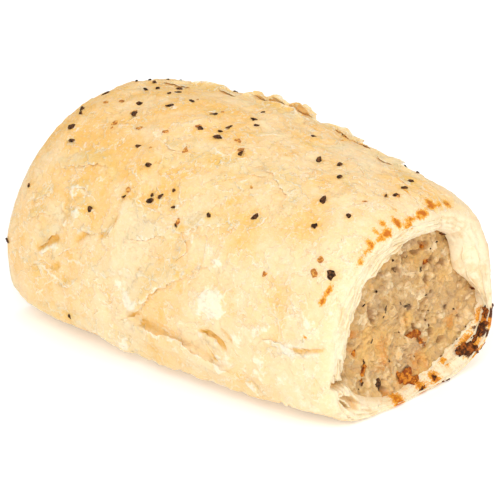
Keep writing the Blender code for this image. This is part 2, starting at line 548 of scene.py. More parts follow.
@dataclass(frozen=True)
class CrustFinish:
    """Pale baked puff pastry, toasted where its skin is thin or stands up; shade is painted into its
    gaps and underside, and highlight onto raised edges.
    """

    cream: Colour = paint(250, 221, 174)
    pale: Colour = paint(255, 240, 212)
    golden: Colour = paint(247, 194, 108)
    toasted: Colour = paint(232, 178, 92)
    # A toasted tan, painted into slits, grooves, hollows and the torn wedge as their shade, and used
    # for a juice stain round the bore.
    gap: Colour = paint(234, 178, 74)
    orange: Colour = paint(238, 164, 44)
    rust: Colour = paint(200, 106, 16)
    burnt: Colour = paint(84, 42, 16)
    crumb: Colour = paint(251, 233, 198)
    layer: Colour = paint(238, 206, 154)
    # A duller greyish tan, painted underneath as the shade of the bottom.
    underside: Colour = paint(232, 206, 160)
    roughness: float = 0.55
    softness: float = 0.2

    def make(self) -> Material:
        """Makes the pastry's material.

        Returns:
            The material, which reads the layers that the crust stores on its points.
        """
        dresser = Dresser("flaky_pastry")
        noise, layer = dresser.noise, dresser.layer
        pushed = dresser.warped(2.6 * MM, 3 * MM)
        broad = noise(9 * MM, 5, 0.6)
        patch = noise(3.2 * MM, 5, 0.62)
        streak = noise(1.5 * MM, 4, 0.6, dresser.stretched(0.5))
        fine = noise(0.8 * MM, 4, 0.65)
        dust = noise(0.3 * MM, 2, 0.6)
        ply = noise(11 * MM, 6, 0.6, pushed)
        blister = dresser.cracks(5.5 * MM, pushed)
        small = dresser.cracks(2.3 * MM, pushed)
        crumb, white, scorch, black = (layer(n) for n in ("crumb", "pale", "scorch", "black"))
        torn = ply.over(0.520, 0.532)
        worn = (1 - ply).over(0.565, 0.575)
        bright = (patch * 0.6 + broad * 0.4 + (streak - 0.5) * 0.25).over(0.47, 0.58)
        warm = layer("toast") + (broad - 0.5) * 2.4 + (patch - 0.5) * 1.5 + (streak - 0.5) * 0.8
        warm = (warm + torn * 0.12 - worn * 0.16).held()
        mottle = ((fine - 0.5) * 3.2 + (dust - 0.5) * 2 + (patch - 0.5) * 0.8).held()
        # Pale lines on the blister edges, the cracks and the torn ply edge, which stand up a little:
        # partly pale thin dough, partly painted highlight.
        rim = (1 - blister.over(0, 0.06)) * (broad + (streak - 0.5)).over(0.52, 0.66)
        net = (1 - small.over(0, 0.09)) * (patch + (fine - 0.5) * 0.8).over(0.56, 0.68)
        edges = (rim * 0.6 + net * 0.4 + ply.band(0.518, 0.008) * 0.75).held()
        light = (white + ((fine - 0.5) * 0.5 + (patch - 0.5) * 0.9)).over(0.36, 0.66)
        light = (light * white.over(0.02, 0.2) + fine.over(0.50, 0.68) * 0.46).held()
        lines = (patch.over(0.48, 0.62) * 0.5 + mottle * 0.3).held()
        spread = scorch + (fine - 0.5) * 1.5 + (dust - 0.5) * 1.3
        char = (black + (fine - 0.5) * 1.1).over(0.35, 0.7) * black.over(0.02, 0.2)
        coats = (
            (bright * 0.75, self.pale),
            (warm, self.golden),
            (mottle * (0.32 + warm * 0.65), self.toasted),
            # Pale raised edges: partly pale dough, partly painted highlight.
            (edges * (1 - crumb), self.pale),
            (light * 0.9, self.pale),
            # Painted shade underneath.
            (layer("under") * 0.55, self.underside),
            (crumb, dresser.blend(lines, self.crumb, self.layer)),
            # Painted shade in the gaps, a toasted tan, with the juice stain round the bore.
            ((layer("gap_shade_and_stain") * (0.8 + (fine - 0.5) * 1.4)).held(), self.gap),
            (spread.over(0.10, 0.65) * scorch.over(0.02, 0.22), self.orange),
            (spread.over(0.62, 1.05) * scorch.over(0.25, 0.6) * 0.9, self.rust),
            (char, self.burnt),
        )
        normal = dresser.bump(fine * 0.75 + dust * 0.25, 0.19 * MM)
        normal = dresser.bump(streak * 0.6 + patch * 0.4, 0.6 * MM, normal)
        skin = (1 - torn * 0.55 - worn * 0.45) * (1 - crumb) + rim * 0.35 + net * 0.15
        normal = dresser.bump(skin, 0.20 * MM, normal)
        return dresser.finish(
            Base_Color=dresser.coated(self.cream, coats),
            Roughness=self.roughness + (patch - 0.5) * 0.3,
            Normal=normal,
            Subsurface_Weight=self.softness,
            Subsurface_Radius=(1, 0.6, 0.3),
            Subsurface_Scale=1.2 * MM,
            Specular_IOR_Level=0.3,
        )


@dataclass(frozen=True)
class MeatFinish:
    """Cooked sausage meat: greyish tan, with fat, crisp spots and juices."""

    tan: Colour = paint(216, 174, 110)
    grey: Colour = paint(196, 160, 114)
    fat: Colour = paint(244, 220, 176)
    golden: Colour = paint(236, 184, 98)
    brown: Colour = paint(168, 120, 68)
    crisp: Colour = paint(214, 142, 58)
    dark: Colour = paint(112, 70, 38)
    roughness: float = 0.38
    softness: float = 0.2

    def make(self) -> Material:
        """Makes the meat's material.

        Returns:
            The material, which reads the layers that the filling stores on its points.
        """
        dresser = Dresser("sausage_meat")
        noise, layer = dresser.noise, dresser.layer
        pushed = dresser.warped(1.4 * MM, 1.8 * MM)
        broad = noise(5 * MM, 4, 0.6)
        patch = noise(1.9 * MM, 4, 0.62)
        fine = noise(0.55 * MM, 3, 0.65)
        grain = dresser.grains(1.5 * MM, pushed)
        crumb = dresser.grains(0.7 * MM, pushed)
        gaps = 1 - dresser.cracks(1.5 * MM, pushed).over(0, 0.16)
        dull = (patch.over(0.46, 0.60) * 0.7 + layer("wet") * 0.6).held()
        fatty = (grain - 0.48) * 1.2 + (layer("chunk") - 0.5) * 0.7 + (crumb - 0.5) * 0.5
        golden = (broad - 0.5) * 3 + (grain - 0.5) * 0.6 + (fine - 0.5) * 1.4
        golden = (golden + layer("warm") * 0.9).held()
        # Brown painted into the pits and the cracks between crumbs as their shade.
        hollow = layer("pit") * 0.8 + gaps * patch.over(0.5, 0.64) * 0.35
        crisp = layer("crisp")
        crust = (crisp + (fine - 0.5) * 1.3).over(0.25, 0.85) * crisp.over(0.02, 0.3)
        # Patches of pale fat colour: partly fat, partly painted sheen of the moist meat.
        fat_and_painted_sheen = (patch * 0.6 + broad * 0.4).over(0.56, 0.66)
        black = (layer("dark") + (fine - 0.5) * 0.8).over(0.35, 0.8)
        coats = (
            (dull, self.grey),
            (fatty.held(), self.fat),
            (golden * 0.8, self.golden),
            (hollow.held(), self.brown),
            (crust * 0.85, self.crisp),
            (fat_and_painted_sheen * 0.35, self.fat),
            (black * 0.8, self.dark),
        )
        heights = grain * 0.2 + patch * 0.55 + fine * 0.25 - gaps * 0.15
        return dresser.finish(
            Base_Color=dresser.coated(self.tan, coats),
            Roughness=patch * 0.4 + (self.roughness - 0.2),
            Normal=dresser.bump(heights, 0.38 * MM),
            Subsurface_Weight=self.softness,
            Subsurface_Radius=(1, 0.55, 0.3),
            Subsurface_Scale=1.2 * MM,
            Specular_IOR_Level=0.4,
        )


@dataclass(frozen=True)
class SpeckFinish:
    """A small dry bit of food: two colours in fine spots, and a roughness."""

    name: str
    light: Colour
    dark: Colour
    spot: float = 0.5 * MM
    roughness: float = 0.6

    def make(self) -> Material:
        """Makes the material.

        Returns:
            The material.
        """
        dresser = Dresser(self.name)
        spots = dresser.noise(self.spot, 3, 0.6)
        colour = dresser.blend(spots.over(0.34, 0.60), self.light, self.dark)
        normal = dresser.bump(spots, 0.25 * MM)
        return dresser.finish(
            Base_Color=colour,
            Roughness=self.roughness,
            Normal=normal,
            Specular_IOR_Level=0.15,
        )


class Speck(Enum):
    """The kinds of small bits on and in the roll."""

    PEPPER = SpeckFinish("cracked_pepper", paint(116, 74, 40), paint(38, 22, 10))
    HUSK = SpeckFinish("seed_husk", paint(238, 178, 90), paint(178, 106, 44))
    BURNT = SpeckFinish("burnt_drips", paint(170, 92, 30), paint(64, 34, 14), 0.9 * MM)
    CRISP = SpeckFinish("crisp_meat", paint(222, 142, 46), paint(140, 66, 18), 0.9 * MM)
    HERB = SpeckFinish("dried_herb", paint(140, 112, 78), paint(78, 58, 38), 0.4 * MM)

    def material(self) -> Material:
        """Gives this kind's material, made once."""
        made = bpy.data.materials.get(self.value.name)
        return made or self.value.make()


# ---- meshes ----


def select_only(piece: Piece) -> None:
    """Selects one object and makes it the active one.

    Args:
        piece: The object.
    """
    bpy.ops.object.select_all(action="DESELECT")
    piece.select_set(True)
    bpy.context.view_layer.objects.active = piece


def merge_and_close(piece: Piece, gap: float = 1e-7) -> None:
    """Merges the edges that meet and turns the faces outwards.

    Args:
        piece: The object whose mesh it is.
        gap: How far apart merged points may be.
    """
    select_only(piece)
    bpy.ops.object.mode_set(mode="EDIT")
    bpy.ops.mesh.select_all(action="SELECT")
    bpy.ops.mesh.remove_doubles(threshold=gap)
    bpy.ops.mesh.normals_make_consistent(inside=False)
    bpy.ops.object.mode_set(mode="OBJECT")
    bpy.ops.object.shade_smooth()


def read_points(piece: Piece) -> Array:
    """Reads where a piece's points are.

    Args:
        piece: The piece.

    Returns:
        The points, in rows of x, y, z.
    """
    flat = np.zeros(len(piece.data.vertices) * 3)
    piece.data.vertices.foreach_get("co", flat)
    return flat.reshape(-1, 3)


def move_points(piece: Piece, points: Array) -> None:
    """Moves a piece's points to new places."""
    piece.data.vertices.foreach_set("co", points.ravel())
    piece.data.update()


def store(piece: Piece, name: str, values: Number) -> None:
    """Stores numbers on a piece's points, which its finish reads.

    Args:
        piece: The piece.
        name: The name of the layer that they make.
        values: A number for each point, or one for all.
    """
    stored = piece.data.attributes.new(name, "FLOAT", "POINT")
    every = np.zeros(len(piece.data.vertices)) + values
    stored.data.foreach_set("value", every.astype(np.float32))


def inside_box(points: Array, margin: float = CLEARANCE, wall: float = 0) -> Array:
    """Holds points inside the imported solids' box."""
    low, high = (np.array(corner) for corner in CAD_BOX)
    return np.clip(points, low + margin, high - wall - margin)


def add_sheet(name: str, rows: int, columns: int) -> tuple[Piece, Array]:
    """Adds a flat sheet.

    Args:
        name: The sheet's name.
        rows: How many faces it has along X.
        columns: How many faces it has along Y.

    Returns:
        The sheet, and its points, which reach from -1 to 1 both ways.
    """
    bpy.ops.object.select_all(action="DESELECT")
    bpy.ops.mesh.primitive_grid_add(x_subdivisions=rows, y_subdivisions=columns, size=2)
    sheet = bpy.context.active_object
    sheet.name = name
    sheet.data.name = name
    return sheet, read_points(sheet)


def roll_out_sheet(name: str, points: Array, layers: dict[str, Array]) -> Piece:
    """Adds a flat sheet and moves its points to where they lie on the roll.

    Args:
        name: The sheet's name.
        points: Where the points go, in rows and columns.
        layers: Numbers that are stored on the points, by name.

    Returns:
        The sheet, with its edges still open.
    """
    rows, columns = points.shape[0] - 1, points.shape[1] - 1
    sheet, flat = add_sheet(name, rows, columns)
    row = np.rint((flat[:, 0] + 1) * 0.5 * rows).astype(int)
    column = np.rint((flat[:, 1] + 1) * 0.5 * columns).astype(int)
    move_points(sheet, points[row, column])
    for layer, values in layers.items():
        store(sheet, layer, values[row, column])
    return sheet


def thicken(sheet: Piece, thickness: float, side: float = 0) -> None:
    """Gives a sheet its thickness.

    Args:
        sheet: The sheet.
        thickness: Its thickness, in metres.
        side: Where the wall stands: 0 on both sides of the faces, -1 behind them.
    """
    wall = sheet.modifiers.new("thickness", "SOLIDIFY")
    wall.thickness = thickness
    wall.offset = side
    select_only(sheet)
    bpy.ops.object.modifier_apply(modifier=wall.name)


def wrap(values: Array, axis: int) -> Array:
    """Repeats the first row or column at the end, so that a sheet's edges meet."""
    first = np.take(values, [0], axis=axis)
    return np.concatenate([values, first], axis=axis)


def join_pieces(
    name: str,
    slot: str,
    parts: list[Piece],
    finish: Material,
    crease: float | None = None,
    **layers: float,
) -> Piece:
    """Joins objects into one piece, gives it its finish and hands it to the frame.

    Args:
        name: The piece's name.
        slot: Not used.
        parts: The objects.
        finish: The piece's material.
        crease: The bend past which an edge looks sharp, in degrees. Without it the piece is
            merged and smooth all over.
        layers: Numbers that are stored on all its points, by name.

    Returns:
        The joined piece.
    """
    select_only(parts[0])
    for part in parts:
        part.select_set(True)
    bpy.ops.object.join()
    joined = bpy.context.active_object
    joined.name = name
    joined.data.name = name
    bpy.ops.object.transform_apply(location=True, rotation=True, scale=True)
    if crease is None:
        merge_and_close(joined)
    else:
        bpy.ops.object.shade_smooth_by_angle(angle=math.radians(crease))
    for layer, value in layers.items():
        store(joined, layer, value)
    joined.data.materials.clear()
    joined.data.materials.append(finish)
    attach(joined, "root")
    return joined


# ---- the roll's smooth form ----


@dataclass(frozen=True)
class RollShape:
    """The smooth form of the roll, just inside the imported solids.

    The section is made of four superellipse quarters, which change along the roll.
    """

    length: float
    inset: float = 0.25 * MM
    widths: tuple[float, ...] = (58.8 * MM, 62.2 * MM, 59.8 * MM, 52.1 * MM)
    heights: tuple[float, ...] = (45.7 * MM, 47.7 * MM, 45 * MM, 41.6 * MM)
    sways: tuple[float, ...] = (-0.8 * MM, 0.7 * MM, 1.4 * MM, 1.2 * MM)
    waist: float = 0.35
    front_top: tuple[float, float] = (1.85, 2.15)
    back_top: tuple[float, float] = (2.45, 2.9)
    front_foot: float = 4
    back_foot: float = 2.8
    lean: tuple[float, float] = (0.06, -0.06)
    foot_press: float = 0.7 * MM
    foot_bend: float = 0.5 * MM
    foot_sink: float = 0.08 * MM
    centring: float = -0.72 * MM
    end_draw: float = 0.058
    end_draw_start: float = 0.8
    wall_front: float = 6.3 * MM
    wall_back: float = 3.6 * MM
    wall_top: float = 5.2 * MM
    floor_front: float = 1.4 * MM
    floor_back: float = 6 * MM
    floor_rise_start: float = 0.3
    bore_waist: float = 0.42
    bore_top: float = 2.2
    bore_front_foot: float = 2.2
    bore_back_foot: float = 3.2

    @staticmethod
    def at_stations(values: tuple[float, ...], along: Array) -> Array:
        """Draws a smooth curve through a value at each of four even stations.

        Args:
            values: The four values, from the far end to the near end.
            along: Places, from -1 at the far end to 1 at the near end.

        Returns:
            The values at those places.
        """
        place = (along + 1) * 1.5
        first = np.clip(place.astype(int), 0, 2)
        share = place - first
        padded = np.array(
            [2 * values[0] - values[1], *values, 2 * values[3] - values[2]]
        )
        before, start, end, after = (padded[first + step] for step in range(4))
        return 0.5 * (
            2 * start
            + (end - before) * share
            + (2 * before - 5 * start + 4 * end - after) * share**2
            + (3 * start - before - 3 * end + after) * share**3
        )

    @staticmethod
    def reach(turn: Array, squareness: Array) -> Array:
        """Gives the reach of a unit superellipse.

        Args:
            turn: Angles, in radians.
            squareness: The superellipse's power at each of them.

        Returns:
            The distance from the middle to the curve.
        """
        across = np.abs(np.cos(turn)) ** squareness
        upward = np.abs(np.sin(turn)) ** squareness
        return (across + upward) ** (-1 / squareness)

    def draw(self, along: Array) -> Array:
        """Gives how far the section has shrunk towards an end, as a factor."""
        into_end = np.maximum(np.abs(along) - self.end_draw_start, 0) / (1 - self.end_draw_start)
        return 1 - self.end_draw * into_end**2

    def skin(self, x: Array, angle: Array) -> tuple[Array, Array]:
        """Gives the outside of the pastry.

        Args:
            x: Places along the roll, in metres.
            angle: Places round it, in degrees.

        Returns:
            Y and Z.
        """
        along = x / (0.5 * self.length)
        share = 0.5 + 0.5 * along
        turn = np.radians(angle)
        front = np.cos(turn) < 0
        top = np.sin(turn) >= 0
        top_power = np.where(front, mix(*self.front_top, share), mix(*self.back_top, share))
        foot_power = np.where(front, self.front_foot, self.back_foot)
        reach = self.reach(turn, np.where(top, top_power, foot_power))
        draw = self.draw(along)
        half_width = 0.5 * self.at_stations(self.widths, along) * draw - self.inset
        height = self.at_stations(self.heights, along)
        waist = self.waist * height
        above = height * draw - waist - self.inset
        z = waist + np.where(top, above, waist) * reach * np.sin(turn)
        y = half_width * reach * np.cos(turn) + mix(*self.lean, share) * (z - waist)
        return y + self.at_stations(self.sways, along) + self.middle, self.settle(z)

    def settle(self, z: Array) -> Array:
        """Presses the foot of the roll flat, with a soft bend round the flat."""
        low = z - self.foot_press
        return np.maximum(0.5 * (low + np.sqrt(low**2 + self.foot_bend**2)) - self.foot_sink, 0)

    def bore(self, x: Array, angle: Array, gap: float = 0) -> tuple[Array, Array]:
        """Gives the inside of the pastry.

        Args:
            x: Places along the roll, in metres.
            angle: Places round it, in degrees.
            gap: How far inside it the wanted face lies.

        Returns:
            Y and Z.
        """
        along = x / (0.5 * self.length)
        turn = np.radians(angle)
        draw = self.draw(along)
        half_width = 0.5 * self.at_stations(self.widths, along) * draw
        left = -half_width + self.wall_front + gap
        right = half_width - self.wall_back - gap
        top_z = self.at_stations(self.heights, along) * draw
        top_z = top_z - self.foot_press - self.wall_top - gap
        front = np.cos(turn) < 0
        top = np.sin(turn) >= 0
        foot_power = np.where(front, self.bore_front_foot, self.bore_back_foot)
        reach = self.reach(turn, np.where(top, self.bore_top, foot_power))
        y = 0.5 * (left + right) + 0.5 * (right - left) * reach * np.cos(turn)
        rise = ease((y - left) / (right - left), self.floor_rise_start, 1)
        floor = mix(self.floor_front, self.floor_back, rise) + gap
        waist = mix(floor, top_z, self.bore_waist)
        height = np.where(top, top_z - waist, waist - floor)
        y = y + self.at_stations(self.sways, along) + self.middle
        return y, waist + height * reach * np.sin(turn)

    @property
    def middle(self) -> float:
        """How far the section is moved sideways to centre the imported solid's box."""
        low, high = CAD_BOX
        return 0.5 * (high[1] + low[1]) + self.centring


# ---- places on the crust ----


@dataclass(frozen=True)
class Spot:
    """A soft round or long spot on the crust."""

    at: Place
    long: float
    wide: float
    strength: float = 1
    turn: float = 0


@dataclass
class SkinMap:
    """The skin laid out flat, in millimetres: right is +X, down is round to the front."""

    shape: RollShape
    x: Array
    angle: Array
    arc: Array = field(init=False)
    right: Array = field(init=False)
    down: Array = field(init=False)

    def __post_init__(self) -> None:
        """Measures how far round the roll each angle is."""
        turns = np.arange(0, 361)
        self.arc = paced(*self.shape.skin(np.zeros(361), turns)) / MM
        self.right = self.x / MM
        self.down = self.round_to(self.angle)

    def round_to(self, angle: Number) -> Number:
        """Gives the millimetres round the roll from the back to an angle."""
        return np.interp(angle, np.arange(0, 361), self.arc)

    def spot(self, mark: Spot) -> Array:
        """Gives a soft spot.

        Args:
            mark: Where it is and how large.

        Returns:
            Its strength at the middle, falling to 0 outside it.
        """
        right = self.right - mark.at[0]
        long, wide = turned(right, self.down - self.round_to(mark.at[1]), mark.turn)
        return mark.strength * np.exp(-((long / mark.long) ** 2) - (wide / mark.wide) ** 2)

    def spots(self, marks: tuple[Spot, ...]) -> Array:
        """Gives the sum of several soft spots."""
        return sum(self.spot(mark) for mark in marks)

    def line(self, places: tuple[Place, ...]) -> tuple[Array, Array]:
        """Measures the distance to a line through places.

        Args:
            places: The places, in order.

        Returns:
            The distance in millimetres, positive on the right hand when walking along
            the line, and the share of the line's length at the nearest place on it.
        """
        right = np.array([place[0] for place in places])
        down = self.round_to(np.array([place[1] for place in places]))
        length = np.hypot(np.diff(right), np.diff(down))
        start = np.concatenate([[0], np.cumsum(length)])
        nearest = np.full(self.right.shape, 1e9)
        signed = np.full(self.right.shape, 1e9)
        share = np.zeros(self.right.shape)
        for index, long in enumerate(length):
            step_right = (right[index + 1] - right[index]) / long
            step_down = (down[index + 1] - down[index]) / long
            off_right = self.right - right[index]
            off_down = self.down - down[index]
            walked = np.clip(off_right * step_right + off_down * step_down, 0, long)
            gap = np.hypot(off_right - walked * step_right, off_down - walked * step_down)
            side = np.sign(step_right * off_down - step_down * off_right)
            closer = gap < nearest
            nearest = np.where(closer, gap, nearest)
            signed = np.where(closer, gap * side, signed)
            share = np.where(closer, (start[index] + walked) / start[-1], share)
        return signed, share


# ---- pastry ----


@dataclass
class Lip:
    """A cut end of the pastry: where the layers of the dough show."""

    rows: int
    layers: float
    groove: float
    outer_round: float = 1.7 * MM
    inner_round: float = 2.2 * MM
    outer_share: float = 0.22
    inner_share: float = 0.45
    slope_share: float = 0.2
    slope_depth: float = 4.3 * MM
    wall: float = 6.5 * MM

    def setback(self, share: Number, slope: Number = 0) -> Number:
        """Gives how far the cut face lies behind the roll's end.

        Args:
            share: Places across the wall, from 0 at the skin to 1 at the bore.
            slope: How much the inner edge is a long slope, from 0 to 1.

        Returns:
            The distances, in metres.
        """
        outer = np.clip(1 - share / self.outer_share, 0, 1) ** 2.2
        start = mix(self.inner_share, self.slope_share, slope)
        inner = np.clip((share - start) / (1 - start), 0, 1) ** mix(2.2, 1.5, slope)
        depth = mix(self.inner_round, self.slope_depth, slope)
        return 0.3 * MM + self.outer_round * outer + depth * inner

    def stations(self) -> Array:
        """Spaces the rows evenly over the face and its round edges.

        Returns:
            The share across the wall of each row.
        """
        share = np.linspace(0, 1, 801)
        walked = paced(share * self.wall, self.setback(share))
        return np.interp(np.linspace(0, walked[-1], self.rows), walked, share)


@dataclass(frozen=True)
class Hollow:
    """A long hollow between the layers of dough in the near end, in millimetres."""

    at: Place
    long: float
    wide: float
    turn: float
    deep: float
    # How much painted shade, a toasted tan, fills the hollow.
    tan: float = 0

    def inside(self, points: Array, grain: Grain) -> Array:
        """Gives how far inside the hollow each point is.

        Args:
            points: The cut face's points.
            grain: The random relief that roughens its sides.

        Returns:
            From 0 outside it to 1 inside.
        """
        right = points[..., 1] / MM - self.at[0]
        long, wide = turned(right, points[..., 2] / MM - self.at[1], self.turn)
        reach = np.sqrt((long / self.long) ** 2 + (wide / self.wide) ** 2)
        reach = reach + 0.22 * grain.rough(points, 2.2 * MM, 3)
        return 1 - ease(reach, 0.62, 1)


class Net(NamedTuple):
    """The crust's rows and columns before it gets its relief.

    X is the place along the roll, share is the way across the wall from 0 at the skin to 1
    at the bore, angle is the way round in degrees, and base is the smooth form's points.
    """

    x: Array
    share: Array
    angle: Array
    base: Array


@dataclass
class Crust:
    """The pastry: one closed skin over the outside, the two cut ends and the bore."""

    shape: RollShape
    columns: int = 360
    skin_rows: int = 190
    wall_rows: int = 14
    far_wall_rows: int = 9
    hidden_rows: int = 4
    seeds: tuple[int, int, int] = (5, 11, 23)
    wall_depth: float = 12 * MM
    swelling: float = 8 * MM
    swell_at: float = 22
    swell_spread: tuple[float, float] = (33, 24)
    swell_far: float = 0.4
    mouth: tuple[float, float] = (34 * MM, 43 * MM)
    face_lean: float = 0.8
    near: Lip = field(default_factory=lambda: Lip(36, 5, 0.5 * MM))
    far: Lip = field(default_factory=lambda: Lip(18, 4, 0.4 * MM))
    finish: Material = field(init=False)
    points: Array = field(init=False)
    normals: Array = field(init=False)
    layers: dict[str, Array] = field(init=False)
    chart: SkinMap = field(init=False)
    first_x: float = field(init=False)
    step_x: float = field(init=False)

    FLAP_EDGE = ((11.5, 157), (10.1, 159), (5.6, 166), (2.1, 171), (-3, 185), (-5.9, 193))
    FOLD_EDGE = (
        (-5.9, 193), (-3.9, 196), (2.7, 198), (7.4, 197), (13.1, 200), (16.9, 204), (22.5, 207),
    )
    WEDGE_TIP = Spot((-3, 194), 4, 2.6)
    ROLLED_EDGE = (
        (-40, 214), (-26, 213), (-13.4, 214), (-6.8, 220), (1.5, 220), (9.8, 219), (17.8, 219),
        (24.9, 220), (32.9, 216), (44, 215),
    )
    # Each slit: its line, its depth and half width in millimetres, and the strength of the painted
    # shade in it.
    SLITS = (
        (((13, 182), (15.4, 182), (17.5, 183), (19.3, 186), (20.7, 190)), 0.7, 0.62, 1.2),
        (((13.2, 184), (14.8, 187), (16.3, 195), (17.6, 200), (19.4, 199)), 0.4, 0.45, 0.7),
        (((18.7, 176), (21.1, 178), (22.5, 181)), 0.25, 0.3, 0.4),
        (((-15.4, 161), (-13.9, 158), (-13.1, 154), (-12.6, 151)), 0.6, 0.58, 1.5),
        (((-16, 160), (-18.5, 161), (-21.4, 160)), 0.35, 0.3, 0.4),
        (((-32.4, 174), (-30.3, 170), (-28.2, 168), (-26, 166)), 0.8, 0.78, 1.5),
        (((-26.4, 151), (-26.4, 154), (-25.8, 156), (-27.2, 158)), 0.6, 0.66, 1.6),
        (((-18.6, 160), (-20.4, 163), (-21.2, 166)), 0.4, 0.45, 0.8),
        (((-28.2, 180), (-26.4, 178), (-25, 176)), 0.35, 0.6, 0.8),
        (((-4.5, 166), (-1.5, 167), (1.5, 166)), 0.25, 0.3, 0.5),
        (((35.3, 174), (38.9, 173), (42.1, 170), (44, 168)), 0.4, 0.42, 0.7),
        (((24.6, 206), (27.2, 210), (28.2, 216)), 0.4, 0.5, 0.7),
        (((9.5, 84), (13.4, 74), (15, 65)), 0.35, 1.2, 0.2),
        (((-26, 190), (-24, 186), (-22.5, 183)), 0.2, 0.4, 0.4),
    )
    PEELED = (
        ((10, 106), (15, 110), (20.8, 114), (25.5, 125)),
        ((-33.5, 76), (-32, 72), (-27, 68), (-18.7, 66)),
        ((-7, 118), (-2, 112), (6, 108), (12, 104)), ((2, 150), (8, 143), (13, 139), (19, 136)),
        ((-34, 142), (-29, 137), (-22, 135), (-15, 140)), ((-9, 160), (-3, 154), (3, 150)),
        ((26, 184), (29, 176), (34, 172), (41, 174)), ((14, 40), (22, 48), (31, 44), (38, 52)),
        ((-30, 20), (-20, 28), (-8, 22), (4, 30)),
    )
    PALE = (
        Spot((15.5, 168), 3.6, 3, 0.85, -10), Spot((18.4, 171), 2.4, 1.8, 0.5, -20),
        Spot((-5, 182), 3.2, 2.6, 0.6), Spot((6, 185), 5, 2.2, 0.35, -10),
        Spot((40, 160), 3, 2.4, 0.42), Spot((42, 178), 2.6, 2.6, 0.42),
        Spot((42, 149), 2.2, 2.4, 0.4), Spot((34, 196), 3, 2.4, 0.45),
        Spot((29, 202), 3.4, 2, 0.45), Spot((24, 176), 2.6, 2, 0.5),
        Spot((36, 176), 2.8, 2, 0.5, 20), Spot((29, 186), 2.2, 1.8, 0.55),
        Spot((5, 161), 2.4, 2, 0.4), Spot((20, 202), 2.6, 2, 0.45), Spot((-7, 213), 3.4, 2, 0.45),
        Spot((-11, 204), 3, 2, 0.4), Spot((16, 150), 2.4, 2, 0.38), Spot((34, 156), 2.4, 2.6, 0.4),
        Spot((29, 169), 2, 1.6, 0.45), Spot((-23, 156), 2.8, 2.4, 0.5),
        Spot((-25, 146), 3, 1.8, 0.5), Spot((-8, 174), 2.4, 1.8, 0.4),
        Spot((7, 146), 2.6, 1.8, 0.42), Spot((-19, 142), 3.5, 1.4, 0.45, 30),
    )
    GOLDEN = (
        Spot((-23, 129), 8, 5, 0.55, 10), Spot((-17, 125), 5, 3, 0.3), Spot((-42, 132), 4, 7, 0.45),
        Spot((-41, 114), 5, 4, 0.3), Spot((-37, 165), 5, 6, 0.2), Spot((-12, 88), 8, 4, 0.4),
        Spot((-24, 81), 8, 5, 0.3), Spot((-8, 126), 6, 4, 0.3), Spot((1, 94), 6, 4, 0.25),
        Spot((-3, 118), 4, 4, 0.2), Spot((27, 122), 5, 6, 0.35, -40),
        Spot((19, 138), 5, 7, 0.35, -50), Spot((10, 160), 4, 3, 0.1, -40),
        Spot((29, 96), 7, 5, 0.35), Spot((35, 72), 7, 4, 0.3), Spot((8, 80), 5, 4, 0.25),
        Spot((21, 64), 7, 3, 0.3), Spot((42, 66), 3, 5, 0.3), Spot((30, 150), 3, 4, 0.15),
    )
    SCORCH_LINE = (
        (42.4, 66), (42.6, 72), (43.6, 80), (44.3, 89), (44.4, 97), (43.9, 107), (43.9, 116),
        (43.9, 129),
    )
    SCORCHED = (
        Spot((41.9, 72), 1.3, 1, 1.2), Spot((42.3, 62), 1, 1.1, 1),
        Spot((43.2, 81), 0.6, 1.7, 0.95), Spot((43.6, 89), 0.5, 1.7, 0.85),
        Spot((42.6, 97), 0.9, 0.7, 0.9), Spot((41.9, 103), 0.8, 0.7, 1.05),
        Spot((43.4, 97), 0.6, 0.9, 1), Spot((43.6, 105), 0.55, 1.1, 1),
        Spot((42.3, 109), 0.7, 0.6, 0.75), Spot((43, 115), 0.7, 0.7, 0.95),
        Spot((43.9, 126), 0.4, 1.2, 0.6), Spot((41.6, 144), 0.45, 1.5, 1.15, 12),
        Spot((41.2, 149), 0.45, 1, 1.25, 12), Spot((37, 77), 1.1, 0.35, 0.7),
        Spot((40.8, 92), 0.6, 0.5, 0.6), Spot((39.4, 166), 0.5, 0.4, 0.75),
    )
    HOLLOWS = (
        Hollow((-19.4, 8.8), 5.8, 3.2, 124, 0.8), Hollow((-20.9, 13.2), 2.8, 0.9, 100, 1.5, 0.2),
        Hollow((-19.8, 9.5), 3.4, 0.85, 166, 2.6, 0.85),
        Hollow((-17.8, 5.4), 4, 1.4, 152, 2.2, 0.42),
    )
    CHARRED = ((18, 4.6, 1.6), (22, 7.6, 1.4), (24, 11.4, 1.4))
    BROWNED = (
        (19, 5.4, 2.6), (23.6, 10, 2.2), (12.2, 4.2, 1.2), (8, 1.6, 1.4), (3.8, 1, 1.4),
        (19, 11.6, 1.6), (-3.8, 0.9, 1.6),
    )

    def build(self) -> Piece:
        """Builds the pastry.

        Returns:
            The finished piece.
        """
        net = self._lay_out()
        relief, layers = self._relief(net)
        points = net.base + self._normals(net.base) * relief[..., None]
        points[..., 0] -= np.sign(net.x) * self._face_relief(net, layers)
        points[..., 2] = self._flatten(points[..., 2])
        self.points = inside_box(points)
        self.normals = self._normals(self.points)
        self.layers = layers
        rows = wrap(wrap(self.points, 0), 1)
        layers = {name: wrap(wrap(values, 0), 1) for name, values in layers.items()}
        piece = roll_out_sheet("pastry_crust", rows, layers)
        merge_and_close(piece)
        self.finish = CrustFinish().make()
        piece.data.materials.append(self.finish)
        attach(piece, "root")
        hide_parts("pastry")
        return piece

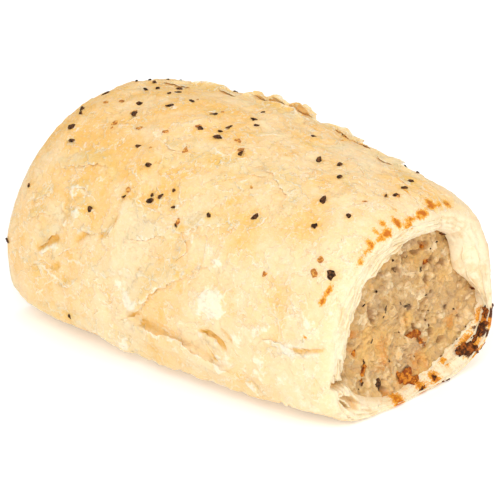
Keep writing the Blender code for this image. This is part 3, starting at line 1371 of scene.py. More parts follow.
    def _lay_out(self) -> Net:
        """Lays the rows and columns out over the whole closed skin.

        Returns:
            The net.
        """
        half = 0.5 * self.shape.length
        near, far = self.near.stations(), self.far.stations()
        skin = np.linspace(
            -half + self.far.setback(0), half - self.near.setback(0), self.skin_rows
        )
        near_wall = half - self.near.setback(1)
        far_wall = -half + self.far.setback(1)
        near_x = np.linspace(near_wall, near_wall - self.wall_depth, self.wall_rows + 1)[1:]
        far_x = np.linspace(far_wall + self.wall_depth, far_wall, self.far_wall_rows)[:-1]
        hidden_x = np.linspace(near_x[-1], far_x[0], self.hidden_rows + 2)[1:-1]
        rows_x = [skin, half - self.near.setback(near[1:]), near_x, hidden_x, far_x]
        rows_x.append(-half + self.far.setback(far[::-1][:-1]))
        self.first_x, self.step_x = skin[0], skin[1] - skin[0]
        rows_share = [np.zeros(len(skin)), near[1:], np.ones(len(near_x))]
        rows_share += [np.ones(len(hidden_x)), np.ones(len(far_x)), far[::-1][:-1]]
        turns = np.arange(0, 361)
        walked = paced(*self.shape.skin(np.zeros(361), turns))
        even = np.linspace(0, walked[-1], self.columns + 1)[:-1]
        column = np.interp(even, walked, turns)
        x, angle = np.meshgrid(np.concatenate(rows_x), column, indexing="ij")
        share, _ = np.meshgrid(np.concatenate(rows_share), column, indexing="ij")
        slope = self.slope(angle)
        for lip, side in ((self.near, 1), (self.far, -1)):
            more = lip.setback(share, slope) - lip.setback(share)
            reach = ease(side * x, 0.5 * half, half - lip.setback(1))
            x = x - side * more * np.where(side * x > 0, reach, 0)
        return Net(x, share, angle, self.place(x, share, angle))

    @staticmethod
    def slope(angle: Array) -> Array:
        """Gives where the wall slopes down to the meat: at the back and underneath."""
        return ease(np.cos(np.radians(angle + 15)), -0.1, 0.6)

    def place(self, x: Array, share: Array, angle: Array) -> Array:
        """Gives the smooth form's points.

        Args:
            x: Places along the roll.
            share: Shares across the wall, from skin to bore.
            angle: Angles round it, in degrees.

        Returns:
            The points.
        """
        outer_y, outer_z = self.shape.skin(x, angle)
        inner_y, inner_z = self.shape.bore(x, angle)
        turn = ((angle + 180) % 360) - 180
        mouth = ease(np.abs(x), *self.mouth)
        off = turn - self.swell_at
        spread = np.where(off > 0, *self.swell_spread)
        swollen = self.swelling * hump(off, spread) * mouth
        swollen = np.where(x > 0, swollen, self.swell_far * swollen)
        inner_y = inner_y - swollen * np.cos(np.radians(turn))
        inner_z = inner_z - swollen * np.sin(np.radians(turn))
        return np.stack([x, mix(outer_y, inner_y, share), mix(outer_z, inner_z, share)], -1)

    @staticmethod
    def _normals(points: Array) -> Array:
        """Gives the outward direction at each point of the closed skin.

        Args:
            points: Points in rows along and columns round.

        Returns:
            The directions.
        """
        along = np.roll(points, -1, 0) - np.roll(points, 1, 0)
        across = np.roll(points, -1, 1) - np.roll(points, 1, 1)
        return unit(np.cross(along, -across))

    @staticmethod
    def _flatten(z: Array) -> Array:
        """Holds the underside on the floor."""
        soft = 0.15 * MM
        return 0.5 * (z + np.sqrt(z**2 + soft**2))

    def _relief(self, net: Net) -> tuple[Array, dict[str, Array]]:
        """Works out the blisters, tears and folds, where the crust is toasted, and the painted shade
        in its slits and torn wedge.

        Args:
            net: The smooth crust.

        Returns:
            The height of the relief, in metres, and the layers for the finish.
        """
        x, share, angle, base = net
        grain, other = Grain(self.seeds[0]), Grain(self.seeds[1])
        chart = SkinMap(self.shape, x, angle)
        self.chart = chart
        on_skin = 1 - ease(share, 0, 0.12)
        height = 0.30 * grain.rough(base, 15 * MM, 3)
        height += 0.18 * other.smooth(base, 5.5 * MM)
        stretched = base * np.array([0.4, 1, 1])
        creased = grain.rough(stretched + 0.3, 2.6 * MM, 3)
        height += (0.08 + 0.14 * ease(base[..., 2], 30 * MM, 44 * MM)) * creased
        height += 0.10 * other.rough(base, 2.2 * MM, 3)
        torn, steps = self._peel(base, other)
        height += steps
        # Painted shade in the slits and the torn wedge, a toasted tan.
        gap_shade_and_stain = np.zeros(x.shape)
        toast = 0.18 + 0.25 * ease(base[..., 2], 28 * MM, 44 * MM)
        toast += 0.26 * ease(x, 15 * MM, -40 * MM) - 0.14 * ease(x, 18 * MM, 42 * MM)
        wedge, wedge_shade = self._wedge(base, grain)
        height += wedge
        gap_shade_and_stain += wedge_shade
        # More toast the deeper the wedge sinks: painted shade in the hollow, partly toasted colour.
        toast += 0.1 * np.clip(-wedge, 0, 1)
        rims = 0
        for places, depth, half_width, strength in self.SLITS:
            signed, along = chart.line(places)
            wobble = 0.25 * grain.rough(base, 1.8 * MM, 2)
            fade = np.sin(np.pi * np.clip(along, 0.02, 0.98)) ** 0.6
            slit = ease(hump(signed + wobble, 1.3 * half_width) * fade, 0.1, 0.7)
            raised = hump(signed - 1.6 * half_width, 1.3 * half_width) * fade
            height += -depth * slit + 0.2 * depth * raised
            # The slits are painted tan as the shade inside them.
            gap_shade_and_stain += 1.3 * strength * slit
            rims = rims + 0.7 * raised * min(strength, 1)
        pale = chart.spots(self.PALE) + rims
        pale = np.clip(pale + 0.35 * grain.rough(base, 2.6 * MM, 3) * (pale > 0.05), 0, 1)
        height += 0.3 * ease(pale, 0.2, 0.6)
        toast += 1.15 * chart.spots(self.GOLDEN)
        for right, around, size in Seasoning.PEPPER:
            toast += 0.7 * chart.spot(Spot((right, around), size, size))
        toast += 0.25 * np.clip(torn, 0, 1)
        height -= 2.4 * hump(angle - 222, 26) * ease(x, -35 * MM, -44.8 * MM)
        rolled, _ = chart.line(self.ROLLED_EDGE)
        wavy = rolled + 0.5 * grain.rough(base, 6 * MM, 3)
        height += 0.45 * hump(wavy + 1.1, 1.3) - 0.55 * ease(wavy, -0.2, 0.7)
        height += 0.35 * ease(wavy, 3, 7)
        scorch = chart.spots(self.SCORCHED)
        streak, _ = chart.line(self.SCORCH_LINE)
        patchy = ease(grain.rough(base, 2 * MM, 2), -0.6, 0.25)
        scorch = 1.1 * scorch + 0.75 * hump(streak, 0.5) * patchy
        scorch *= 1 - ease(share, 0.12, 0.3)
        # Where the underside is, which gets painted shade and less toast.
        under = ease(angle, 222, 236) * (1 - ease(angle, 312, 330))
        layers = {
            "toast": np.clip(toast, 0, 1) * on_skin * (1 - 0.6 * under),
            "pale": pale * on_skin,
            "gap_shade_and_stain": np.clip(gap_shade_and_stain, 0, 1) * on_skin,
            "scorch": np.clip(scorch, 0, 1.2),
            "under": under * on_skin,
            "crumb": ease(share, 0.04, 0.2),
            "black": np.zeros(x.shape),
        }
        keep = on_skin + 0.25 * (1 - on_skin)
        keep = keep * np.where((share > 0.98) & (np.abs(x) < self.mouth[0]), 0, 1)
        return height * MM * keep, layers

    def _peel(self, base: Array, grain: Grain) -> tuple[Array, Array]:
        """Works out the edges of flaked-off layers.

        Args:
            base: The smooth points.
            grain: The random relief they are read from.

        Returns:
            Where a layer is missing, from 0 to 1, and the height in millimetres.
        """
        warped = base + 0.9 * MM * grain.rough(base, 3 * MM, 3)[..., None]
        patches = grain.rough(warped + 0.4, 17 * MM, 4)
        first = ease(patches, 0.22, 0.27)
        second = ease(-patches, 0.40, 0.45)
        height = -0.16 * first - 0.14 * second
        torn = 0.5 * first
        for places in self.PEELED:
            signed, along = self.chart.line(places)
            ragged = signed + 0.9 * grain.rough(base, 4 * MM, 4)
            window = np.sin(np.pi * np.clip(along, 0, 1)) ** 0.5
            fade = hump(ragged, 4.5) * window
            height -= 0.16 * ease(ragged, 0, 0.5) * fade
            torn += 0.3 * ease(ragged, 0, 0.5) * fade
        return torn, height

    def _wedge(self, base: Array, grain: Grain) -> tuple[Array, Array]:
        """Works out the opening between the torn flap and the folded layer below it.

        Args:
            base: The smooth points.
            grain: The random relief that roughens the torn edges.

        Returns:
            The height in millimetres, and the painted shade in the gap, a toasted tan.
        """
        ragged = 0.45 * grain.rough(base, 2.2 * MM, 3)
        flap, _ = self.chart.line(self.FLAP_EDGE)
        fold, along = self.chart.line(self.FOLD_EDGE)
        flap = flap + ragged
        fold = fold + 0.6 * ragged
        inside = ease(-flap, 0, 0.45) * ease(-fold, 0, 0.5)
        near_flap = hump(flap, 5.5)
        near_fold = hump(fold, 3.6) * (1 - ease(along, 0.85, 1))
        height = -inside * (0.55 * near_flap + 0.55 * near_fold)
        height += 0.28 * ease(flap, -0.1, 0.4) * hump(flap, 2.2)
        window = 1 - ease(along, 0.9, 1)
        height += 0.55 * hump(fold - 1.5, 1.5) * window
        height -= 0.35 * hump(fold - 4.6, 1.3) * window
        tip = self.chart.spot(self.WEDGE_TIP)
        # Painted shade, deepest at the tip and along the fold, with a little along the flap's edge.
        gap_shade_and_stain = inside * (0.85 * tip + 0.4 * hump(fold + 0.6, 1.2) * window)
        gap_shade_and_stain += 0.25 * inside * hump(flap, 0.5)
        return height, gap_shade_and_stain

    def _face_relief(self, net: Net, layers: dict[str, Array]) -> Array:
        """Works out the layers and the hollow corner of the cut ends.

        Args:
            net: The smooth crust.
            layers: The finish's layers, which the grooves are added to as painted shade.

        Returns:
            How far each point is moved towards the roll's middle, in metres.
        """
        x, share, angle, base = net
        grain = Grain(self.seeds[2])
        near = x > 0
        flat = base * np.array([0, 1, 1]) + np.where(near, 0.3, 0.9)[..., None]
        wobble = 0.5 * grain.rough(flat, 9 * MM, 3)
        count = np.where(near, self.near.layers, self.far.layers)
        deep = np.where(near, self.near.groove, self.far.groove)
        phase = share * count + wobble
        groove = 1 - np.abs(np.sin(np.pi * phase)) ** 0.45
        loose = hump(angle - 205, 32)
        broken = ease(grain.rough(flat + 0.5, 5 * MM, 2), -0.5, 0.4)
        window = ease(share, 0.08, 0.24) * (1 - ease(share, 0.9, 0.99))
        smooth_back = 1 - 0.6 * hump(((angle + 180) % 360) - 180, 55)
        depth = groove * deep * broken * (1 + 1.6 * loose) * smooth_back * window
        terrace = np.floor(phase)
        level = 0.22 * MM * grain.smooth(
            np.stack([terrace * 3.7, terrace * 1.3, flat[..., 2] / (30 * MM)], -1), 1
        )
        lumps = 0.22 * MM * grain.rough(flat, 3.2 * MM, 3) * window
        depth += level * window + lumps
        # Painted shade in the grooves between the dough's layers.
        layers["gap_shade_and_stain"] += 0.25 * groove * broken * window * (1 + 0.4 * loose)
        rim = ease(share, 0.06, 0.16) * near
        for hollow in self.HOLLOWS:
            inside = hollow.inside(base, grain) * rim
            depth = depth + inside * hollow.deep * MM
            # Painted shade inside the hollow corner.
            layers["gap_shade_and_stain"] += hollow.tan * inside
        stained = ease(share, 0.86, 0.99) * near * hump(angle - 196, 62)
        layers["gap_shade_and_stain"] += 0.45 * stained
        end = near * ease(x, 40.5 * MM, 43 * MM)
        layers["black"] += np.clip(soft_spots(base, self.CHARRED), 0, 1) * end
        layers["scorch"] += 1.1 * np.clip(soft_spots(base, self.BROWNED), 0, 0.9) * end
        return depth

    def sample(self, values: Array, right: Array, down: Array) -> Array:
        """Reads stored values of the finished skin between its points.

        Args:
            values: The values, in the skin's rows and columns.
            right: Places along the roll, in millimetres.
            down: Places round it, in millimetres from the back.

        Returns:
            The values at those places.
        """
        row = np.clip((right * MM - self.first_x) / self.step_x, 0, self.skin_rows - 1.001)
        column = (down / self.chart.arc[-1] * self.columns) % self.columns
        top, left = row.astype(int), column.astype(int) % self.columns
        next_left = (left + 1) % self.columns
        share_row, share_column = row - top, column - np.floor(column)
        if values.ndim == 3:
            share_row, share_column = share_row[..., None], share_column[..., None]
        upper = mix(values[top, left], values[top, next_left], share_column)
        lower = mix(values[top + 1, left], values[top + 1, next_left], share_column)
        return mix(upper, lower, share_row)

    def surface(self, place: Place) -> Surface:
        """Gives the finished skin at a place.

        Args:
            place: The place on the crust.

        Returns:
            The point and the outward direction.
        """
        right = np.array([place[0]])
        down = self.chart.round_to(np.array([place[1]]))
        at = self.sample(self.points, right, down)[0]
        return at, unit(self.sample(self.normals, right, down)[0])

    def face(self, across: float, up: float) -> Surface:
        """Gives the point and the outward direction of the finished near end at Y and Z."""
        rows = slice(self.skin_rows - 4, self.skin_rows + self.near.rows)
        return on_face(self.points[rows], self.normals[rows], (across, up), self.face_lean)


# ---- filling ----


@dataclass
class Filling:
    """The sausage meat: one closed lump whose two ends are set back in the pastry."""

    shape: RollShape
    columns: int = 330
    near_rings: int = 84
    side_rings: int = 8
    far_rings: int = 72
    seeds: tuple[int, int] = (31, 37)
    gap: float = -0.5 * MM
    setback_top: float = 6 * MM
    setback_foot: float = 3.7 * MM
    rim_rise: float = 0.9
    crown: float = 0.2 * MM
    edge_round: float = 0.1 * MM
    edge_start: float = 0.93
    face_lean: float = 4
    points: Array = field(init=False)
    normals: Array = field(init=False)

    WARMS = (
        (-4.9, 12.6, 3.2), (-8, 15.4, 3), (9, 26.6, 1.9), (14.4, 21, 1.8), (15.6, 11.1, 1.6),
        (7.6, 5.8, 2.4), (13, 9.3, 1.6), (3, 15, 2), (-9.2, 10.4, 2.4), (5, 27.6, 2),
        (4.9, 3.3, 1.8),
    )
    WETS = (
        (-4.5, 9.2, 2), (0.6, 7.4, 2.2), (1.1, 24.7, 2.2), (8.2, 24.6, 1.6), (14.6, 16.4, 2.6),
        (-3.5, 18.6, 1.9), (2.6, 18.8, 2.6), (4.8, 8.9, 2), (-9.2, 7.4, 1.6), (0.3, 5, 1.8),
        (4.2, 32, 2.6), (-7, 21, 2.4), (10.6, 17.4, 2),
    )
    CRISPS = (
        (2.4, 2.8, 2.8), (-3.8, 1, 2), (4.6, 11.2, 1.8), (8.2, 29.2, 1.2), (8.9, 25.9, 1.1),
        (-13.3, 17.2, 1.3), (-4.2, 12.2, 2.4), (6, 6, 2.6), (16.1, 10.7, 1.6), (-6, 1.8, 1.5),
        (-12.2, 12.5, 1.2), (-11, 9, 1.2), (-13.6, 14, 1), (7.4, 9.4, 1.2),
    )
    DARKS = (
        (-10.6, 9.4, 0.9), (-11, 6.3, 0.9), (3.6, 17.6, 1), (7.4, 8.6, 0.8), (3, 4.6, 1),
        (-6, 3.6, 1), (14.8, 14.2, 0.7), (4, 1.6, 0.9),
    )

    def build(self) -> Piece:
        """Builds the filling.

        Returns:
            The finished piece.
        """
        near_ring = np.linspace(0, 1, self.near_rings) ** 0.85
        far_ring = np.linspace(1, 0, self.far_rings) ** 0.85
        ring = np.concatenate([near_ring, np.ones(self.side_rings), far_ring])
        side = np.linspace(0.8, -0.8, self.side_rings)
        end = np.concatenate([np.ones(self.near_rings), side, -np.ones(self.far_rings)])
        angle = np.linspace(0, 360, self.columns + 1)[:-1]
        ring, turn = np.meshgrid(ring, angle, indexing="ij")
        end, _ = np.meshgrid(end, angle, indexing="ij")
        base = self._place(ring, turn, end)
        height, layers = self._relief(base, ring)
        points = base.copy()
        points[..., 0] += end * (np.abs(end) == 1) * height
        rounded = np.clip((ring - self.edge_start) / (1 - self.edge_start), 0, 1) ** 2
        points[..., 0] -= end * rounded * self.edge_round
        points = inside_box(points, 0)
        points[0] = points[0].mean(axis=0)
        points[-1] = points[-1].mean(axis=0)
        self.points = points[: self.near_rings]
        along = np.gradient(self.points, axis=0)
        across = np.roll(self.points, -1, 1) - np.roll(self.points, 1, 1)
        normals = unit(np.cross(along, across))
        self.normals = normals * np.sign(normals[..., :1] + 1e-9)
        sheet = wrap(points, 1)
        layers = {name: wrap(values, 1) for name, values in layers.items()}
        piece = roll_out_sheet("sausage_filling", sheet, layers)
        merge_and_close(piece)
        piece.data.materials.append(MeatFinish().make())
        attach(piece, "root")
        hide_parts("filling")
        return piece

    def _place(self, ring: Array, turn: Array, end: Array) -> Array:
        """Gives the smooth form's points.

        Args:
            ring: Shares of the way from the middle of the section to its rim.
            turn: Angles round the section, in degrees.
            end: 1 at the near end to -1 at the far end.

        Returns:
            The points.
        """
        half = 0.5 * self.shape.length
        x = end * (half - 4.5 * MM)
        for _ in range(3):
            rim_y, rim_z = self.shape.bore(x, turn, self.gap)
            middle_y, middle_z = rim_y.mean(axis=1), rim_z.mean(axis=1)
            y = mix(middle_y[:, None], rim_y, ring)
            z = mix(middle_z[:, None], rim_z, ring)
            up = np.clip(z / (40 * MM), 0, 1)
            back = mix(self.setback_foot, self.setback_top, up)
            face = half - back - self.crown * ring**2
            x = end * face
        return np.stack([x, y, z], -1)

    def _relief(self, base: Array, ring: Array) -> tuple[Array, dict[str, Array]]:
        """Works out the crumbs of the meat.

        Args:
            base: The smooth points.
            ring: Shares of the way from the middle to the rim.

        Returns:
            Heights in metres, and the layers for the finish.
        """
        grain, other = (Grain(seed) for seed in self.seeds)
        warped = base + 0.7 * MM * grain.rough(base, 2.5 * MM, 2)[..., None]
        warped += 0.5 * MM * other.rough(base + 0.1, 1.2 * MM, 2)[..., None]
        edge, owner = grain.crumbs(warped, 3 * MM)
        fine_edge, fine_owner = other.crumbs(warped, 1.25 * MM)
        part = ease(grain.smooth(base + 0.5, 4 * MM), -0.2, 0.5)
        height = 0.34 * ease(edge, 0, 0.6) * part + 0.30 * owner
        height += 0.16 * ease(fine_edge, 0, 0.6) + 0.20 * fine_owner
        height += 0.40 * grain.rough(base, 7 * MM, 4)
        height += 0.26 * other.rough(base, 1.6 * MM, 3)
        # Pits sink the meat and are painted brown as shade.
        pit = ease(-grain.rough(base + 0.2, 2.6 * MM, 3), 0.55, 0.9)
        height -= 0.8 * pit
        y, z = base[..., 1] / MM, base[..., 2] / MM
        near = base[..., 0] > 0
        tables = (self.CRISPS, self.DARKS, self.WARMS, self.WETS)
        crisp, dark, warm, wet = (soft_spots(base, spots) * near for spots in tables)
        crisp = 0.62 * crisp + ease(other.rough(base + 0.7, 4 * MM, 2), 0.55, 1) * 0.45
        dark += ease(other.smooth(base + 0.3, 2.6 * MM), 0.75, 0.95) * 0.4
        height += 0.3 * crisp
        height += self.rim_rise * ease(ring, 0.82, 0.98) * (1 - ease(z, 12, 26))
        turn = np.degrees(np.arctan2(z - 18, y - 2))
        height += self.rim_rise * ease(ring, 0.5, 0.8) * hump(turn - 25, 55)
        # The cracks between crumbs are painted with shade too.
        crack = (1 - ease(edge, 0, 0.15)) * part
        fine_crack = 1 - ease(fine_edge, 0, 0.2)
        layers = {
            "chunk": 0.5 + 0.9 * owner * 0.6 + 0.5 * fine_owner,
            "pit": pit + 0.3 * crack + 0.15 * fine_crack,
            "crisp": crisp,
            "dark": dark,
            "warm": warm,
            "wet": wet,
        }
        layers = {name: np.clip(values, 0, 1) for name, values in layers.items()}
        return (height - 0.35) * MM, layers

    def face(self, across: float, up: float) -> Surface:
        """Gives the point and the outward direction of the finished near face at Y and Z."""
        return on_face(self.points, self.normals, (across, up), self.face_lean)


# ---- small bits ----


@dataclass
class Bits:
    """Small bits of one kind that lie on the roll, joined into one piece."""

    name: str
    kind: Speck
    rough: float
    seed: int
    faces: int = 2
    made: list[Piece] = field(default_factory=list)

    CREASE = 28
    CUTS = 6
    CUT_AT = (0.16, 0.38)
    CLEARANCE = 1e-5

    def add(
        self,
        surface: Surface,
        size: tuple[float, float, float],
        sink: float,
        turn: float | None = None,
    ) -> None:
        """Adds one bit.

        Args:
            surface: The point that it lies on, and the outward direction there.
            size: Its length, width and height, in millimetres.
            sink: How deep it is sunk in, as a share of its height.
            turn: How far its length is turned from level, in degrees; any way if not given.
        """
        rng = np.random.default_rng(self.seed * 1000 + len(self.made))
        bpy.ops.object.select_all(action="DESELECT")
        bpy.ops.mesh.primitive_ico_sphere_add(subdivisions=self.faces, radius=0.5)
        bit = bpy.context.active_object
        co = read_points(bit)
        shift = rng.uniform(-9, 9, 3)
        swell = 1 + self.rough * Grain(self.seed).rough(co + shift, 0.45, 3)
        for _ in range(self.CUTS):
            way = unit(rng.normal(size=3))
            over = np.maximum(co @ way - rng.uniform(*self.CUT_AT), 0)
            co = co - over[:, None] * way
        co = co * np.clip(swell, 0.6, 1.5)[:, None] * (np.array(size) * MM)
        spin = rng.uniform(0, 2 * math.pi) if turn is None else math.radians(turn)
        spun = Matrix.Rotation(spin, 3, "Z")
        tilt = Matrix.Rotation(rng.normal(0, 0.25 if turn is None else 0.05), 3, "X")
        at, normal = surface
        up = unit(normal)
        level = unit(np.cross([0, 0, 1], up) + 1e-9)
        lie = Matrix(np.column_stack([level, np.cross(up, level), up]).tolist())
        pose = np.array(lie @ tilt @ spun)
        centre = at + normal * size[2] * MM * (0.5 - sink)
        move_points(bit, inside_box(co @ pose.T + centre, self.CLEARANCE))
        self.made.append(bit)

    def finish(self, slot: str) -> Piece:
        """Joins the bits into one piece."""
        return join_pieces(self.name, slot, self.made, self.kind.material(), self.CREASE)


@dataclass
class Seasoning:
    """Cracked pepper and seed husks on the crust."""

    crust: Crust
    seed: int = 71
    grown: float = 1.25
    stray_flakes: int = 22
    stray_husks: int = 16
    span: tuple[float, float] = (-40, 38)
    flake_turns: tuple[float, float] = (24, 82)
    husk_turns: tuple[float, float] = (20, 130)

    PEPPER = (
        (-41, 96, 1.4), (-41, 110, 1.7), (-39.6, 113, 1.3), (-38, 122, 1.7), (-35, 128, 1.7),
        (-40, 151, 1.1), (-44, 176, 1.6), (-28.5, 100, 1.4), (-26, 107, 1.6), (-32, 89, 1.2),
        (-31, 85, 1.5), (-26, 88, 1.2), (-25.5, 84, 1.6), (-18, 90, 1.6), (-20, 98, 1.4),
        (-36, 78, 1.2), (-10, 93, 1.2), (-8, 104, 1.5), (-4, 100, 1.2), (-4, 96, 1.6),
        (-3, 104, 1.5), (4.7, 106, 1.4), (-17, 122, 1.2), (-11, 128, 1.4), (-20, 152, 1.4),
        (-12.5, 143, 1), (-6, 140, 1.6), (-4, 137, 1.3), (-1.5, 133, 1), (-6, 138, 0.9),
        (0.6, 139, 1), (9.5, 136, 1.1), (-0.6, 87, 1), (-3, 84, 1.6), (9, 74, 1.2), (18, 88, 1.3),
        (22, 85, 1.4), (26, 93, 1.1), (29, 110, 1.9), (19, 129, 1.3), (32, 122, 1.4),
        (36.5, 88, 1.2), (37.4, 84, 1.1), (34, 68, 1.3), (36, 76, 1.2), (36.5, 111, 1.2),
        (41, 138, 2), (-22.5, 209, 1.3), (3, 145, 0.9),
    )
    HUSKS = (
        (-28, 115, 1.3), (-21, 114, 1.3), (-14, 112, 1.2), (-6, 116, 1.5), (1.5, 101, 1.2),
        (4, 104, 1.3), (3, 144, 1.4), (-33, 101, 1.2), (37.4, 134, 1.3), (37.7, 140, 1.4),
        (27, 148, 1.1), (37.6, 83, 1.2), (-12, 140, 1), (-26.5, 106, 1.3), (-9, 103, 1.2),
        (-36, 105, 1.1),
    )

    def build(self) -> list[Piece]:
        """Builds the seasoning.

        Returns:
            The pepper and the husks.
        """
        rng = np.random.default_rng(self.seed)
        pepper = Bits("pepper_flakes", Speck.PEPPER, 0.35, self.seed)
        for along, angle, size in self.PEPPER:
            long = self.grown * size
            wide = long * rng.uniform(0.6, 0.9)
            pepper.add(self.crust.surface((along, angle)), (long, wide, 0.6), 0.35)
        for _ in range(self.stray_flakes):
            place = (rng.uniform(*self.span), rng.uniform(*self.flake_turns))
            size = rng.uniform(0.9, 1.7)
            pepper.add(self.crust.surface(place), (size, 0.7 * size, 0.55), 0.35)
        husks = Bits("seed_husks", Speck.HUSK, 0.3, self.seed + 1)
        for along, angle, size in self.HUSKS:
            surface = self.crust.surface((along, angle))
            husks.add(surface, (1.5 * size, 1.1 * size, 0.5), 0.35)
        for _ in range(self.stray_husks):
            place = (rng.uniform(*self.span), rng.uniform(*self.husk_turns))
            size = rng.uniform(0.7, 1.2)
            husks.add(self.crust.surface(place), (size, 0.75 * size, 0.35), 0.45)
        return [pepper.finish("pastry"), husks.finish("pastry")]


@dataclass
class Drips:
    """Juices that ran out of the near end and burnt on its lower back corner."""

    crust: Crust
    seed: int = 83

    LUMPS = (
        (17.9, 4.7, 4, 3.6, 1.5), (16.8, 4.6, 2.2, 2.6, 1.2), (19.4, 4.8, 2.2, 2.8, 1.2),
        (21.4, 7.1, 3, 2.4, 1.2), (20.6, 6.2, 1.6, 1.4, 0.9), (22.5, 8.7, 2.4, 2.8, 1.2),
        (23.4, 11.3, 2.6, 2.9, 1.3), (24.8, 12.2, 1.8, 1, 0.9), (22.1, 4.4, 1.2, 2, 0.9),
        (12.2, 4.4, 1.8, 0.9, 0.4), (7.7, 1.8, 1.5, 2.2, 0.8), (11.1, 0.7, 1.9, 0.8, 0.7),
        (3.8, 1.1, 1.8, 1.4, 0.7), (19, 11.6, 2.9, 1.5, 0.8), (19.1, 15.8, 1.8, 0.6, 0.4),
        (11.7, 30.9, 1.3, 0.8, 0.5), (9.4, 0.8, 1, 0.6, 0.5),
    )

    def build(self) -> Piece:
        """Builds the burnt drips.

        Returns:
            The finished piece.
        """
        drips = Bits("burnt_drips", Speck.BURNT, 0.8, self.seed, faces=4)
        for across, up, long, wide, tall in self.LUMPS:
            drips.add(self.crust.face(across, up), (long, wide, tall), 0.4, 0)
        return drips.finish("pastry")


@dataclass
class MeatBits:
    """Crisp edges, pepper and herbs in the near face of the meat."""

    filling: Filling
    seed: int = 97
    stray: int = 14
    stray_across: tuple[float, float] = (-13, 20)
    stray_up: tuple[float, float] = (4, 30)

    CRISPS = (
        (1.7, 3.2, 3.2, 3.4, 0), (3.4, 1.9, 2.4, 2.6, 40), (-4.2, 1.2, 3.2, 2, 0),
        (0.2, 4, 1.8, 1.6, 30), (-12.2, 12.5, 1.8, 1.2, 90), (-10.5, 9.3, 1.5, 2.6, 0),
        (6.8, 9.4, 3, 1.3, -50), (4.2, 11.8, 3.8, 2.4, -30), (8.1, 29, 1.5, 1.3, 0),
        (8.9, 25.9, 1.3, 1.1, 0), (-11, 6.9, 1.4, 1, 0),
    )
    HERBS = (
        (0.3, 26.3, 1.9, 0.45, 90), (7, 24.4, 1.9, 0.7, 75), (3.8, 28.3, 1.3, 0.6, 30),
        (3.5, 18, 3.2, 0.9, 5), (1.8, 18.6, 1.4, 0.9, -50), (-3.3, 18.8, 2.6, 0.8, 80),
        (-3, 8.3, 2, 0.7, -40), (14.9, 14.1, 1.1, 0.5, 0), (3.2, 4.6, 2.2, 0.9, 10),
        (-5.5, 23.6, 0.9, 0.6, 0), (-7, 14, 1.6, 0.5, 60), (8, 19, 1.4, 0.5, -20),
    )
    PEPPER = (
        (-6.4, 4.3, 2.4), (-11, 6.1, 1.3), (9.1, 12.2, 0.9), (-0.6, 28.9, 0.8), (-5.5, 23.6, 0.8),
        (-10.4, 10.6, 1),
    )

    def build(self) -> list[Piece]:
        """Builds the bits in the meat.

        Returns:
            The finished pieces.
        """
        rng = np.random.default_rng(self.seed)
        crisps = Bits("crisp_meat_bits", Speck.CRISP, 0.9, self.seed, faces=4)
        for across, up, long, wide, turn in self.CRISPS:
            tall = 0.4 * min(long, wide) + 0.3
            crisps.add(self.filling.face(across, up), (long, wide, tall), 0.5, turn)
        herbs = Bits("herb_bits", Speck.HERB, 0.3, self.seed + 1)
        for across, up, long, wide, turn in self.HERBS:
            herbs.add(self.filling.face(across, up), (long, wide, 0.5), 0.5, turn)
        pepper = Bits("meat_pepper", Speck.PEPPER, 0.35, self.seed + 2)
        for across, up, size in self.PEPPER:
            pepper.add(self.filling.face(across, up), (size, 0.75 * size, 0.6), 0.4)
        for _ in range(self.stray):
            place = (rng.uniform(*self.stray_across), rng.uniform(*self.stray_up))
            size = rng.uniform(0.4, 0.9)
            pepper.add(self.filling.face(*place), (size, 0.7 * size, 0.4), 0.45)
        return [crisps.finish("filling"), herbs.finish("filling"), pepper.finish("filling")]


@dataclass
class Flake:
    """A thin shard of pastry that has lifted off the skin along one side, in millimetres."""

    at: Place
    long: float
    wide: float
    lift: float
    turn: float
    curl: float = 0

    THICK = 0.13 * MM
    ROWS = 22
    COLUMNS = 14
    NEIGHBOURS = 14 * MM
    SEED = 200

    def make(self, crust: Crust, index: int) -> Piece:
        """Makes the shard.

        Args:
            crust: The pastry it lies on.
            index: Its number, which picks its ragged outline.

        Returns:
            The shard.
        """
        at, normal = crust.surface(self.at)
        up = unit(normal)
        along = unit(np.array([1, 0, 0]) - up * up[0])
        across = np.cross(up, along)
        turn = math.radians(self.turn)
        first = along * math.cos(turn) + across * math.sin(turn)
        second = np.cross(up, first)
        shard, co = add_sheet(f"flake_{index}", self.ROWS, self.COLUMNS)
        grain = Grain(self.SEED + index)
        ragged = 1 + 0.28 * grain.rough(co * np.array([1, 1, 0]), 0.7, 4)
        round_off = 1 - 0.35 * np.abs(co[:, 0] * co[:, 1]) ** 1.5
        long = co[:, 0] * ragged * round_off * 0.5 * (self.long * MM)
        wide = co[:, 1] * ragged * round_off * 0.5 * (self.wide * MM)
        share = 0.5 + 0.5 * co[:, 1]
        lift = self.lift * MM * share**1.6 + self.curl * MM * np.maximum(share - 0.6, 0) ** 2
        lift = lift * (1 - 0.4 * co[:, 0] ** 2)
        lift = lift + 0.12 * MM * grain.rough(co, 0.5, 3) - 0.10 * MM * (1 - share)
        points = at + long[:, None] * first + wide[:, None] * second + lift[:, None] * up
        points = points - self._drop(crust, points, at, up, share)[:, None] * up
        move_points(shard, inside_box(points, SHEET_CLEARANCE, self.THICK))
        thicken(shard, self.THICK)
        return shard

    @staticmethod
    def _drop(crust: Crust, points: Array, at: Array, up: Array, share: Array) -> Array:
        """Gives how far the skin falls away below each point of the flat shard.

        Args:
            crust: The pastry.
            points: The shard's points.
            at: The shard's middle.
            up: The outward direction there.
            share: Shares of the way from the held side to the lifted side.

        Returns:
            The distances.
        """
        skin = crust.points[: crust.skin_rows].reshape(-1, 3)
        close = skin[np.linalg.norm(skin - at, axis=1) < Flake.NEIGHBOURS]
        flat_skin = close - ((close - at) @ up)[:, None] * up
        flat = points - ((points - at) @ up)[:, None] * up
        drop = np.zeros(len(points))
        for index, point in enumerate(flat):
            nearest = np.argmin(np.sum((flat_skin - point) ** 2, axis=1))
            drop[index] = -((close[nearest] - at) @ up)
        return drop * (1 - 0.15 * share)


